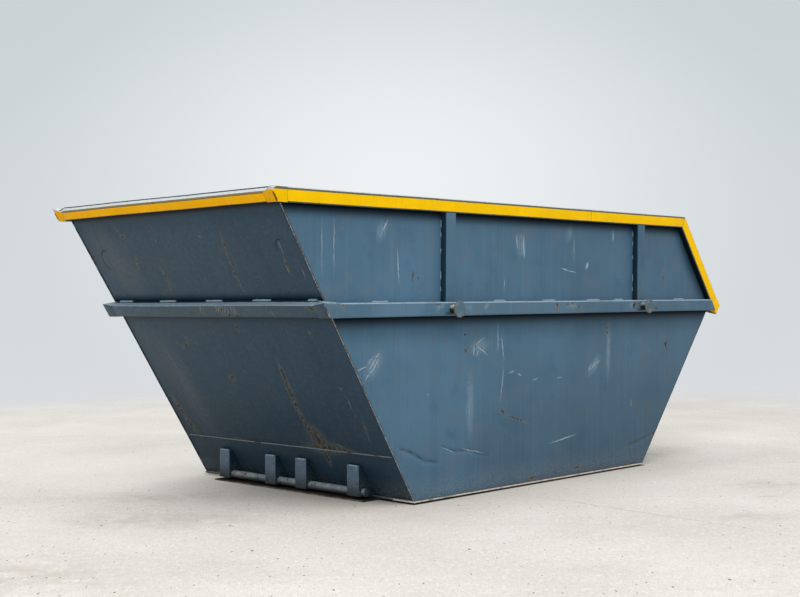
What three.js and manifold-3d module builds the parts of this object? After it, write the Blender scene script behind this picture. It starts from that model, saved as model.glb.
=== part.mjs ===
// A chain-lift waste skip: a welded steel hull with sloping ends, a folded rim, a folded rail at
// mid height, uprights, four lifting lugs and a tipping bar at the tall end.
// Millimetres, +Z up. +X runs towards the low lip, and the tipping bar is at the -X end.
// Left and right are as seen by someone who stands in front of the tipping bar and faces +X.

import * as THREE from 'three';
import { ConvexGeometry } from 'three/addons/geometries/ConvexGeometry.js';
import { mergeVertices } from 'three/addons/utils/BufferGeometryUtils.js';
import Module from 'manifold-3d';

// Hull plates
const floorLength = 2138;
const floorWidth = 1800;
const wallHeight = 1610;
const lipHeight = 1061;
const frontOverhang = 978;
const rearOverhang = 838;
const topLength = 3536;
const sideLean = 28;
const plateThickness = 4;
const floorThickness = 8;
const floorLedge = 5;
const edgeStand = 4;
const frontSeamHeight = 243;

// Folded channels of the rim and of the rail
const sheetThickness = 4;
const bendInside = 4;
const edgeShow = 4;
const rimHeight = 74;
const rimDepth = 43;
const frontRimDepth = 46;
const lipDepth = 60;
const railUnderLip = 8;
const railHeight = 75;
const railDepth = 53;
const frontRailHeight = 74;
const frontRailDepth = 50;
const cornerLap = 25;
const returnLap = 10;
const rearRimLength = 1056;

// Uprights
const uprightWidth = 79;
const uprightDepth = 41;
const frontUprightInset = 237;
const rearUprightInset = 91;

// Lifting lugs
const lugPinRadius = 25;
const lugDiscRadius = 45;
const lugDiscThickness = 12;
const lugReach = 45;
const lugChamfer = 2;

// Tipping bar and its brackets
const barRadius = 22.5;
const barStandoff = 85;
const barAxisHeight = 44;
const barOverhang = 24;
const barChamfer = 3;
const barPlay = 6.5;
const bracketWidth = 92;
const bracketPlate = 8;
const bracketFoot = 24;
const bracketTopDepth = 19.4;
const outerBracketOffset = 560;
const innerBracketOffset = 133;

// Base plate under the brackets, and skid runners under the floor
const runnerThickness = 8;
const runnerWidth = 60;
const runnerInset = 90;
const runnerEndInset = 12;
const basePlateToe = 8;
const basePlateTail = 85;
const basePlateOverhang = 15;

// Clearance that welded pieces keep to each other, how far a cut runs past what it cuts, and
// how finely the round shapes are divided
const fitGap = 0.3;
const overrun = 20;
const bendSteps = 4;
const roundSteps = 40;

// Angles and heights that follow from the sizes
const floorTop = runnerThickness + floorThickness;
const lean = Math.asin(sideLean / wallHeight);
const wallRise = wallHeight * Math.cos(lean);
const lipRise = lipHeight * Math.cos(lean);
const frontSlope = Math.atan2(frontOverhang, wallRise);
const rearSlope = Math.atan2(rearOverhang, lipRise);
const rearTopX = topLength - frontOverhang;
const lipX = floorLength + rearOverhang;
const rimSlope = Math.atan2(lipX - rearTopX, wallHeight - lipHeight);
const slopeLength = Math.hypot(lipX - rearTopX, wallHeight - lipHeight);
const rimTop = -edgeShow;
const rimBottom = rimTop - rimHeight;
const railTop = lipHeight - railUnderLip;
const railBottom = railTop - railHeight;
const plateBack = edgeStand + plateThickness;

// Directions of the hull, and of the two sloping ends
const alongX = new THREE.Vector3(1, 0, 0);
const alongY = new THREE.Vector3(0, 1, 0);
const alongZ = new THREE.Vector3(0, 0, 1);
const frontUp = new THREE.Vector3(-Math.sin(frontSlope), 0, Math.cos(frontSlope));
const frontOut = new THREE.Vector3(-Math.cos(frontSlope), 0, -Math.sin(frontSlope));
const rearUp = new THREE.Vector3(Math.sin(rearSlope), 0, Math.cos(rearSlope));
const rearOut = new THREE.Vector3(Math.cos(rearSlope), 0, -Math.sin(rearSlope));
const frontFoot = new THREE.Vector3(0, 0, floorTop);
const rearFoot = new THREE.Vector3(floorLength, 0, floorTop);

const wasm = await Module();
wasm.setup();

// Paints and bare steel, a new material for each piece
const bluePaint = () => new THREE.MeshStandardMaterial({ color: 0x46617b, roughness: 0.5, metalness: 0.1 });
const darkPaint = () => new THREE.MeshStandardMaterial({ color: 0x36495a, roughness: 0.6, metalness: 0.1 });
const yellowPaint = () => new THREE.MeshStandardMaterial({ color: 0xf2b90a, roughness: 0.45, metalness: 0.05 });
const wornSteel = () => new THREE.MeshStandardMaterial({ color: 0x7b8087, roughness: 0.55, metalness: 0.6 });
const rustySteel = () => new THREE.MeshStandardMaterial({ color: 0x5b4a3f, roughness: 0.85, metalness: 0.3 });

// Frames, pieces and solids

// A group whose own axes are the two given ones and the one square to both
function frameAt(origin, xAxis, yAxis) {
  const zAxis = new THREE.Vector3().crossVectors(xAxis, yAxis);
  const group = new THREE.Group();
  group.position.copy(origin);
  group.quaternion.setFromRotationMatrix(new THREE.Matrix4().makeBasis(xAxis, yAxis, zAxis));
  return group;
}

function addPiece(parent, name, geometry, material) {
  const piece = new THREE.Mesh(geometry, material);
  piece.name = name;
  parent.add(piece);
  return piece;
}

function addTo(parent, frame) {
  parent.add(frame);
  frame.updateWorldMatrix(true, false);
  return frame;
}

function toSolid(geometry) {
  const bare = geometry.clone();
  bare.deleteAttribute('normal');
  bare.deleteAttribute('uv');
  const merged = mergeVertices(bare);
  const vertProperties = new Float32Array(merged.attributes.position.array);
  const triVerts = new Uint32Array(merged.index.array);
  return new wasm.Manifold(new wasm.Mesh({ numProp: 3, vertProperties, triVerts }));
}

function toGeometry(solid) {
  const mesh = solid.getMesh();
  const geometry = new THREE.BufferGeometry();
  geometry.setAttribute('position', new THREE.BufferAttribute(mesh.vertProperties, mesh.numProp));
  geometry.setIndex(new THREE.BufferAttribute(mesh.triVerts, 1));
  const faceted = geometry.toNonIndexed();
  faceted.computeVertexNormals();
  return faceted;
}

function outlineShape(points) {
  return new THREE.Shape(points.map(([x, y]) => new THREE.Vector2(x, y)));
}

// A flat plate: its outline, from one depth to another
function plateGeometry(points, from, to) {
  const geometry = new THREE.ExtrudeGeometry(outlineShape(points), { depth: to - from, bevelEnabled: false });
  return geometry.translate(0, 0, from);
}

// A folded channel in height (x) and depth (y): a web at full depth and a flange at each edge
function channelShape(low, high, depth, back) {
  const outer = bendInside + sheetThickness;
  const left = low + outer;
  const right = high - outer;
  const centre = depth - outer;
  const shape = new THREE.Shape();
  shape.moveTo(low, back);
  shape.lineTo(low, centre);
  shape.absarc(left, centre, outer, Math.PI, Math.PI / 2, true);
  shape.absarc(right, centre, outer, Math.PI / 2, 0, true);
  shape.lineTo(high, back);
  shape.lineTo(high - sheetThickness, back);
  shape.absarc(right, centre, bendInside, 0, Math.PI / 2, false);
  shape.absarc(left, centre, bendInside, Math.PI / 2, Math.PI, false);
  shape.lineTo(low + sheetThickness, back);
  shape.closePath();
  return shape;
}

// Where a plane cuts a bar: the place along the bar, and how it moves with height and depth
function cutAt(at, perHeight = 0, perDepth = 0) {
  return { at, perHeight, perDepth };
}

// A bar of one section between two cuts, drawn along z
function barGeometry(section, start, end) {
  const geometry = new THREE.ExtrudeGeometry(section, { depth: 1, bevelEnabled: false, curveSegments: bendSteps });
  const position = geometry.attributes.position;
  for (let i = 0; i < position.count; i += 1) {
    const cut = position.getZ(i) < 0.5 ? start : end;
    const along = cut.at + cut.perHeight * position.getX(i) + cut.perDepth * position.getY(i);
    position.setZ(i, along);
  }
  geometry.computeVertexNormals();
  return geometry;
}

// A turned piece with chamfered ends, along y from one place to another
function turnedGeometry(radius, chamfer, from, to) {
  const profile = [
    [0, from],
    [radius - chamfer, from],
    [radius, from + chamfer],
    [radius, to - chamfer],
    [radius - chamfer, to],
    [0, to],
  ];
  return new THREE.LatheGeometry(profile.map(([r, y]) => new THREE.Vector2(r, y)), roundSteps);
}

// A straight round cutter along y through a place
function boreCutter(radius, length, x, y, z) {
  return toSolid(new THREE.CylinderGeometry(radius, radius, length, roundSteps).translate(x, y, z));
}

// Inside half width between the side plates at a height over the floor
function innerHalfWidth(height) {
  return floorWidth / 2 + height * Math.tan(lean) - plateThickness / Math.cos(lean) - fitGap;
}

// Face of a sloping end's plate: x at a height over the floor, at a depth in front of the side
// plates' ends
function frontFaceX(height, depth) {
  return -(depth + height * Math.sin(frontSlope)) / Math.cos(frontSlope);
}

// Bars on the ends: their edges are measured up the slope, their depth square to it
const railCornerHeight = railBottom * Math.cos(lean) - railDepth * Math.sin(lean);
const rimCornerHeight = (wallHeight + rimBottom) * Math.cos(lean) - rimDepth * Math.sin(lean);
const cornerSlope = rimSlope + rearSlope;

function slopeFromHeight(height, depth) {
  return (height + depth * Math.sin(frontSlope)) / Math.cos(frontSlope);
}

// Where the inner and outer faces of an end plate's top edge come level with the walls
const frontPlateTop = (wallRise - plateBack * Math.sin(frontSlope)) / Math.cos(frontSlope);
const rearPlateTop = (lipRise - plateBack * Math.sin(rearSlope)) / Math.cos(rearSlope);

const frontRail = {
  low: slopeFromHeight(railCornerHeight, frontRailDepth),
  high: slopeFromHeight(railCornerHeight, frontRailDepth) + frontRailHeight,
  depth: frontRailDepth,
  seam: innerHalfWidth(railCornerHeight) - cornerLap,
};
const frontRim = {
  low: slopeFromHeight(rimCornerHeight, frontRimDepth),
  high: frontPlateTop - edgeShow,
  depth: frontRimDepth,
  seam: innerHalfWidth(rimCornerHeight) - cornerLap,
};
const lipRim = {
  low: lipRise / Math.cos(rearSlope) + rimBottom / Math.sin(cornerSlope),
  high: rearPlateTop - edgeShow,
  depth: lipDepth,
  seam: innerHalfWidth(lipRise - rimHeight) - cornerLap,
};

// Where the tipping bar and the front face of its brackets lie
const strapX = -(barStandoff + barRadius + barPlay + bracketPlate);
const barHalfLength = outerBracketOffset + bracketWidth / 2 + barOverhang;

// Pieces between the two sides

function addFloor(skip) {
  const halfWidth = floorWidth / 2 + floorLedge;
  const outline = [
    [-floorLedge, -halfWidth],
    [floorLength + floorLedge, -halfWidth],
    [floorLength + floorLedge, halfWidth],
    [-floorLedge, halfWidth],
  ];
  addPiece(skip, 'floor_plate', plateGeometry(outline, runnerThickness, floorTop), bluePaint());
}

// An end plate between two places up its slope, as wide as the leaning sides leave
function endPlateGeometry(from, to, slope) {
  const low = innerHalfWidth(from * Math.cos(slope));
  const high = innerHalfWidth(to * Math.cos(slope));
  const outline = [
    [-low, from],
    [low, from],
    [high, to],
    [-high, to],
  ];
  return plateGeometry(outline, edgeStand, plateBack);
}

function addEndPlates(skip) {
  const front = addTo(skip, frameAt(frontFoot, alongY, frontUp));
  const seam = frontSeamHeight / Math.cos(frontSlope);
  const lower = endPlateGeometry(fitGap, seam - fitGap / 2, frontSlope);
  const upper = endPlateGeometry(seam + fitGap / 2, frontPlateTop, frontSlope);
  addPiece(front, 'front_plate_lower', lower, darkPaint());
  addPiece(front, 'front_plate_upper', upper, darkPaint());

  const rear = addTo(skip, frameAt(rearFoot, alongY.clone().negate(), rearUp));
  addPiece(rear, 'rear_plate', endPlateGeometry(fitGap, rearPlateTop, rearSlope), bluePaint());
}

function addEndBar(skip, foot, up, out, bar, name, material) {
  const frame = addTo(skip, frameAt(foot, up, out));
  const section = channelShape(bar.low, bar.high, bar.depth, fitGap - edgeStand);
  const end = bar.seam - fitGap;
  addPiece(frame, name, barGeometry(section, cutAt(-end), cutAt(end)), material);
}

// A bracket: a front strap, two side webs and a short top, open towards the front plate and
// below, with the tipping bar's hole through both webs
function bracketGeometry() {
  const plateFace = fitGap - edgeStand;
  const foot = bracketFoot - floorTop;
  const shoulder = strapX + bracketTopDepth;
  const top = -(plateFace + shoulder * Math.cos(frontSlope)) / Math.sin(frontSlope);
  const outside = [
    [strapX, foot],
    [frontFaceX(foot, plateFace), foot],
    [shoulder, top],
    [strapX, top],
  ];
  const inside = [
    [strapX + bracketPlate, foot - overrun],
    [overrun, foot - overrun],
    [overrun, top - bracketPlate],
    [strapX + bracketPlate, top - bracketPlate],
  ];
  const halfWidth = bracketWidth / 2;
  const webFace = halfWidth - bracketPlate;
  const block = toSolid(plateGeometry(outside, -halfWidth, halfWidth).rotateX(Math.PI / 2));
  const hollow = toSolid(plateGeometry(inside, -webFace, webFace).rotateX(Math.PI / 2));
  const barHeight = barAxisHeight - floorTop;
  const bore = boreCutter(barRadius + fitGap, bracketWidth + overrun, -barStandoff, 0, barHeight);
  return toGeometry(block.subtract(hollow).subtract(bore));
}

function addTippingBar(skip) {
  const offsets = [outerBracketOffset, innerBracketOffset, -innerBracketOffset, -outerBracketOffset];
  offsets.forEach((offset, index) => {
    const bracket = addPiece(skip, `tipping_bar_bracket_${index + 1}`, bracketGeometry(), bluePaint());
    bracket.position.set(0, offset, floorTop);
  });

  const rod = turnedGeometry(barRadius, barChamfer, -barHalfLength, barHalfLength);
  const bar = addPiece(skip, 'tipping_bar', rod, wornSteel());
  bar.position.set(-barStandoff, 0, barAxisHeight);

  const halfLength = barHalfLength + basePlateOverhang;
  const outline = [
    [strapX - basePlateToe, -halfLength],
    [basePlateTail, -halfLength],
    [basePlateTail, halfLength],
    [strapX - basePlateToe, halfLength],
  ];
  const geometry = plateGeometry(outline, 0, runnerThickness);
  addPiece(skip, 'tipping_bar_base_plate', geometry, rustySteel());
}

function addRunners(skip) {
  const offset = floorWidth / 2 - runnerInset;
  const places = { left: offset, centre: 0, right: -offset };
  const halfWidth = runnerWidth / 2;
  for (const [name, place] of Object.entries(places)) {
    const outline = [
      [basePlateTail + runnerEndInset, place - halfWidth],
      [floorLength - runnerEndInset, place - halfWidth],
      [floorLength - runnerEndInset, place + halfWidth],
      [basePlateTail + runnerEndInset, place + halfWidth],
    ];
    addPiece(skip, `skid_runner_${name}`, plateGeometry(outline, 0, runnerThickness), rustySteel());
  }
}

// Pieces of one side, drawn for the left and mirrored for the right. In the side's own frame x
// runs along the skip, y points out of the side plate and z runs up it.

function addSidePlate(side, name) {
  const outline = [
    [0, fitGap],
    [floorLength, fitGap],
    [lipX, lipHeight],
    [rearTopX, wallHeight],
    [-frontOverhang, wallHeight],
  ];
  const face = addTo(side, frameAt(new THREE.Vector3(), alongX, alongZ));
  addPiece(face, `${name}_side_plate`, plateGeometry(outline, 0, plateThickness), bluePaint());
}

// The line of the top rim runs forwards from the rear top corner of the side plate, and the
// line of the sloping rim runs up to it from the lip
function rimFrames(side) {
  const slopeHeight = new THREE.Vector3(Math.cos(rimSlope), 0, Math.sin(rimSlope));
  const top = frameAt(new THREE.Vector3(rearTopX, 0, wallHeight), alongZ, alongY);
  const slope = frameAt(new THREE.Vector3(lipX, 0, lipHeight), slopeHeight, alongY);
  return { top: addTo(side, top), slope: addTo(side, slope) };
}

// Where the top rim, the rail and the sloping rim stop short of their corner pieces
function sideSeams() {
  const frontEdge = (height) => (frontOverhang * height) / wallHeight;
  const slopeEnd = rimTop / Math.tan(cornerSlope);
  return {
    rim: rearTopX + frontEdge(wallHeight + rimBottom) - returnLap,
    rail: frontEdge(railBottom) - returnLap,
    slope: slopeEnd + returnLap,
  };
}

function addRim(side, name, frames, seams) {
  const section = channelShape(rimBottom, rimTop, rimDepth, fitGap);
  const mitre = Math.tan((Math.PI / 2 - rimSlope) / 2);
  const rear = barGeometry(section, cutAt(fitGap, -mitre), cutAt(rearRimLength - fitGap));
  const front = barGeometry(section, cutAt(rearRimLength), cutAt(seams.rim - fitGap));
  const slope = barGeometry(section, cutAt(seams.slope + fitGap), cutAt(slopeLength - fitGap, mitre));
  addPiece(frames.top, `${name}_top_rim_front`, front, yellowPaint());
  addPiece(frames.top, `${name}_top_rim_rear`, rear, yellowPaint());
  addPiece(frames.slope, `${name}_slope_rim`, slope, yellowPaint());
}

// Length along the rail, counted forwards from the front corner of the floor
const lugPlaces = { front: -frontUprightInset, rear: rearUprightInset - floorLength };

function addRail(side, name, seams) {
  const frame = addTo(side, frameAt(new THREE.Vector3(), alongZ, alongY));
  const section = channelShape(railBottom, railTop, railDepth, fitGap);
  const perHeight = Math.tan(rimSlope);
  const slopeFoot = (rimBottom - fitGap) / Math.cos(rimSlope) + lipX + lipHeight * perHeight;
  const bar = toSolid(barGeometry(section, cutAt(-slopeFoot, perHeight), cutAt(seams.rail - fitGap)));
  const bores = Object.values(lugPlaces).map((place) => (
    boreCutter(lugPinRadius + fitGap, 2 * overrun, (railBottom + railTop) / 2, railDepth, place)
  ));
  const bored = bores.reduce((rest, bore) => rest.subtract(bore), bar);
  addPiece(frame, `${name}_side_rail`, toGeometry(bored), bluePaint());
  return frame;
}

function addUprights(side, name) {
  const section = channelShape(-uprightWidth / 2, uprightWidth / 2, uprightDepth, fitGap);
  const bottom = cutAt(railTop + fitGap);
  const top = cutAt(wallHeight + rimBottom - fitGap);
  for (const [end, place] of Object.entries(lugPlaces)) {
    const upright = addPiece(side, `${name}_upright_${end}`, barGeometry(section, bottom, top), bluePaint());
    upright.position.x = -place;
  }
}

function addLugs(side, name) {
  const faceEnd = railDepth + lugReach;
  for (const [end, place] of Object.entries(lugPlaces)) {
    const axis = new THREE.Vector3(-place, 0, (railBottom + railTop) / 2);
    const rod = turnedGeometry(lugPinRadius, lugChamfer, fitGap, faceEnd - fitGap);
    const pin = addPiece(side, `${name}_lug_pin_${end}`, rod, wornSteel());
    pin.position.copy(axis);
    const plate = turnedGeometry(lugDiscRadius, lugChamfer, faceEnd, faceEnd + lugDiscThickness);
    const disc = addPiece(side, `${name}_lug_disc_${end}`, plate, bluePaint());
    disc.position.copy(axis);
  }
}

// Corner pieces of the rim, the rail and the lip

// The point where a line along a side bar reaches a depth in front of an end
function meetingPoint(bar, height, depth, end, endDepth) {
  const here = bar.frame.localToWorld(new THREE.Vector3(height, depth, 0));
  const there = bar.frame.localToWorld(new THREE.Vector3(height, depth, 1));
  const hereDepth = end.frame.worldToLocal(here.clone()).y;
  const thereDepth = end.frame.worldToLocal(there.clone()).y;
  return here.lerp(there, (endDepth - hereDepth) / (thereDepth - hereDepth));
}

// The space of a corner: from the end bar's seam round to the side bar's seam. An inset draws
// the same space one wall smaller, and the overrun opens it at both seams and at the plates.
function cornerSpace(bar, end, inset, past) {
  const heights = [bar.low + inset, bar.high - inset];
  const slopes = [end.low + inset, end.high - inset];
  const points = [];
  for (const height of heights) {
    points.push(meetingPoint(bar, height, bar.depth - inset, end, end.depth - inset));
    for (const depth of [bar.depth - inset, -past]) {
      points.push(bar.frame.localToWorld(new THREE.Vector3(height, depth, bar.seam - bar.way * past)));
    }
  }
  for (const slope of slopes) {
    for (const depth of [end.depth - inset, -past]) {
      const seam = end.way * (end.seam - past);
      points.push(end.frame.localToWorld(new THREE.Vector3(slope, depth, seam)));
    }
  }
  return toSolid(new ConvexGeometry(points));
}

// All that lies between the outer faces of the hull's plates on this half, with the clearance
function hullSpace(side) {
  const front = fitGap / Math.cos(frontSlope);
  const rear = fitGap / Math.cos(rearSlope);
  const outline = [
    [-front, 0],
    [floorLength + rear, 0],
    [lipX + rear, lipHeight],
    [rearTopX, wallHeight],
    [-frontOverhang - front, wallHeight],
  ];
  const points = [];
  for (const [x, z] of outline) {
    points.push(side.localToWorld(new THREE.Vector3(x, fitGap, z)));
    points.push(side.localToWorld(new THREE.Vector3(x, -floorWidth / 2, z)));
  }
  return toSolid(new ConvexGeometry(points));
}

function addCorner(half, name, bar, end, hull, material) {
  const block = cornerSpace(bar, end, 0, 0);
  const hollow = cornerSpace(bar, end, sheetThickness, overrun);
  addPiece(half, name, toGeometry(block.subtract(hull).subtract(hollow)), material);
}

function buildSide(name) {
  const half = new THREE.Group();
  const side = new THREE.Group();
  side.position.set(0, floorWidth / 2, floorTop);
  side.rotation.x = -lean;
  addTo(half, side);
  const rims = rimFrames(side);
  const seams = sideSeams();
  addSidePlate(side, name);
  addRim(side, name, rims, seams);
  const railFrame = addRail(side, name, seams);
  addUprights(side, name);
  addLugs(side, name);

  const frontFrame = addTo(half, frameAt(frontFoot, frontUp, frontOut));
  const rearFrame = addTo(half, frameAt(rearFoot, rearUp, rearOut));
  const hull = hullSpace(side);
  const rimBar = { frame: rims.top, low: rimBottom, high: rimTop, depth: rimDepth, seam: seams.rim, way: 1 };
  const railBar = { frame: railFrame, low: railBottom, high: railTop, depth: railDepth, seam: seams.rail, way: 1 };
  const slopeBar = { ...rimBar, frame: rims.slope, seam: seams.slope, way: -1 };
  const onFront = { frame: frontFrame, way: -1 };
  const onRear = { frame: rearFrame, way: 1 };
  addCorner(half, `${name}_rim_corner`, rimBar, { ...frontRim, ...onFront }, hull, yellowPaint());
  addCorner(half, `${name}_rail_corner`, railBar, { ...frontRail, ...onFront }, hull, darkPaint());
  addCorner(half, `${name}_lip_corner`, slopeBar, { ...lipRim, ...onRear }, hull, yellowPaint());
  return half;
}

function buildSkip() {
  const skip = new THREE.Group();
  addFloor(skip);
  addEndPlates(skip);
  addEndBar(skip, frontFoot, frontUp, frontOut, frontRail, 'front_rail', darkPaint());
  addEndBar(skip, frontFoot, frontUp, frontOut, frontRim, 'front_top_rim', yellowPaint());
  addEndBar(skip, rearFoot, rearUp, rearOut, lipRim, 'rear_lip_rim', yellowPaint());
  addTippingBar(skip);
  addRunners(skip);
  skip.add(buildSide('left'));
  const right = buildSide('right');
  right.scale.y = -1;
  skip.add(right);
  return skip;
}

// The origin is on the ground, under the middle of the whole skip
const skip = buildSkip();
const extent = new THREE.Box3().setFromObject(skip);
skip.position.x = -(extent.min.x + extent.max.x) / 2;

const part = new THREE.Group();
part.add(skip);

export default part;
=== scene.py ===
"""A chain-lift waste skip in worn blue and yellow paint, on a pale concrete floor.

All sizes are in metres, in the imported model's own frame. The near side is the right one, at -Y.
"""

import math
import random

import bmesh
import bpy
from mathutils import Matrix, Vector, noise


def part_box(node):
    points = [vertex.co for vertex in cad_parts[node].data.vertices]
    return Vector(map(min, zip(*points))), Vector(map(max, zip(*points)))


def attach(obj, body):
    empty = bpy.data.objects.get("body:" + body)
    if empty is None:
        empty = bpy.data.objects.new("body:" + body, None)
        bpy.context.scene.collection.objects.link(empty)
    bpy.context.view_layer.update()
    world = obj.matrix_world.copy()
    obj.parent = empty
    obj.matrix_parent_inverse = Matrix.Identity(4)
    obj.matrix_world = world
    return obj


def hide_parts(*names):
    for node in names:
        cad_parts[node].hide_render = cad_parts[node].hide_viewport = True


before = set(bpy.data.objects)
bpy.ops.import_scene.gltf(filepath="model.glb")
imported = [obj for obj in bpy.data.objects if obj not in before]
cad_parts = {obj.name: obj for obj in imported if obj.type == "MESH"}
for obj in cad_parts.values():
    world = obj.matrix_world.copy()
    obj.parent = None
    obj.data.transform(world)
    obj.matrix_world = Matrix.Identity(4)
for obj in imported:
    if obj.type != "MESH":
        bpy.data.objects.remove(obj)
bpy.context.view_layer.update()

# Sizes of the hull, from the part
FLOOR_LEDGE = 0.005
WALL_HEIGHT = 1.61
LIP_HEIGHT = 1.061
FRONT_OVERHANG = 0.978
REAR_OVERHANG = 0.838
SIDE_LEAN = 0.028
EDGE_STAND = 0.004
PLATE = 0.004
FRONT_SEAM_HEIGHT = 0.243
RIM_LOW = -0.078
RAIL_TOP = 1.053
RAIL_DEPTH = 0.053
UPRIGHT_WIDTH = 0.079

floor_low, floor_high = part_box("floor_plate")
FLOOR_TOP = floor_high.z
HULL_START = floor_low.x + FLOOR_LEDGE
FLOOR_LENGTH = floor_high.x - floor_low.x - 2 * FLOOR_LEDGE
HALF_WIDTH = floor_high.y - FLOOR_LEDGE
LEAN = math.asin(SIDE_LEAN / WALL_HEIGHT)
WALL_RISE = WALL_HEIGHT * math.cos(LEAN)
FRONT_SLOPE = math.atan2(FRONT_OVERHANG, WALL_RISE)
REAR_SLOPE = math.atan2(REAR_OVERHANG, LIP_HEIGHT * math.cos(LEAN))
FRONT_RAIL_STAND = 0.013
FRONT_RAIL_TOP = RAIL_TOP * math.cos(LEAN) / math.cos(FRONT_SLOPE) + FRONT_RAIL_STAND
UPRIGHT_PLACES = (0.237, FLOOR_LENGTH - 0.091)

# Seed of the waves in the steel, which without one come from the clock and change with each run
WAVE_SEED = 12
noise.seed_set(WAVE_SEED)


def plane(origin, along, up, out=None):
    """A plate's own axes: along it, up it and out of it."""
    if out is None:
        out = along.cross(up)
    matrix = Matrix((along, up, out)).transposed().to_4x4()
    matrix.translation = origin
    return matrix


def side_plane(way):
    """The outer face of a side plate. Way is 1 for the left side and -1 for the right."""
    up = Vector((0, way * math.sin(LEAN), math.cos(LEAN)))
    out = Vector((0, way * math.cos(LEAN), -math.sin(LEAN)))
    return plane(Vector((HULL_START, way * HALF_WIDTH, FLOOR_TOP)), Vector((1, 0, 0)), up, out)


def outward(matrix):
    """The direction in which a plate's outer face looks."""
    return matrix.to_3x3() @ Vector((0, 0, 1))


SIDES = {"left": side_plane(1), "right": side_plane(-1)}
FRONT = plane(
    Vector((HULL_START, 0, FLOOR_TOP)),
    Vector((0, -1, 0)),
    Vector((-math.sin(FRONT_SLOPE), 0, math.cos(FRONT_SLOPE))),
)
REAR = plane(
    Vector((HULL_START + FLOOR_LENGTH, 0, FLOOR_TOP)),
    Vector((0, 1, 0)),
    Vector((math.sin(REAR_SLOPE), 0, math.cos(REAR_SLOPE))),
)


# Materials


class Nodes:
    """A tree of shader nodes. Values that go in are numbers, tuples or other nodes' outputs."""

    def __init__(self, tree):
        self.tree = tree
        self.tree.nodes.clear()

    def add(self, kind, inputs=(), **settings):
        node = self.tree.nodes.new(kind)
        for key, value in settings.items():
            setattr(node, key, value)
        for socket, value in inputs:
            self.put(node.inputs[socket], value)
        return node

    def output(self, kind, inputs=(), **settings):
        """The first output of a new node."""
        return self.add(kind, inputs, **settings).outputs[0]

    def put(self, socket, value):
        if isinstance(value, bpy.types.NodeSocket):
            self.tree.links.new(value, socket)
        elif isinstance(value, tuple) and len(value) == 3 and socket.type == "RGBA":
            socket.default_value = (*value, 1)
        else:
            socket.default_value = value

    def math(self, operation, *values):
        return self.output("ShaderNodeMath", list(enumerate(values)), operation=operation)

    def times(self, first, second):
        return self.math("MULTIPLY", first, second)

    def scaled(self, value, factor, offset):
        return self.math("MULTIPLY_ADD", value, factor, offset)

    def most(self, first, second):
        return self.math("MAXIMUM", first, second)

    def vector(self, operation, *values):
        node = self.add("ShaderNodeVectorMath", list(enumerate(values)), operation=operation)
        return node.outputs["Value" if operation in ("LENGTH", "DOT_PRODUCT") else "Vector"]

    def parts(self, vector):
        return self.add("ShaderNodeSeparateXYZ", [("Vector", vector)]).outputs

    def mix(self, amount, first, second):
        """One colour at 0 and another at 1."""
        inputs = [(0, amount), (6, first), (7, second)]
        return self.add("ShaderNodeMix", inputs, data_type="RGBA").outputs[2]

    def band(self, value, low, high, kind="SMOOTHSTEP"):
        """0 below low, 1 above high, and a smooth or a straight rise between. Low may be the larger."""
        inputs = [("Value", value), ("From Min", low), ("From Max", high)]
        return self.output("ShaderNodeMapRange", inputs, interpolation_type=kind)

    def wash(self, value, low, high, first, second):
        return self.mix(self.band(value, low, high), first, second)

    def end(self, kind, shader):
        self.tree.links.new(shader, self.add(kind).inputs[0])


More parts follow.
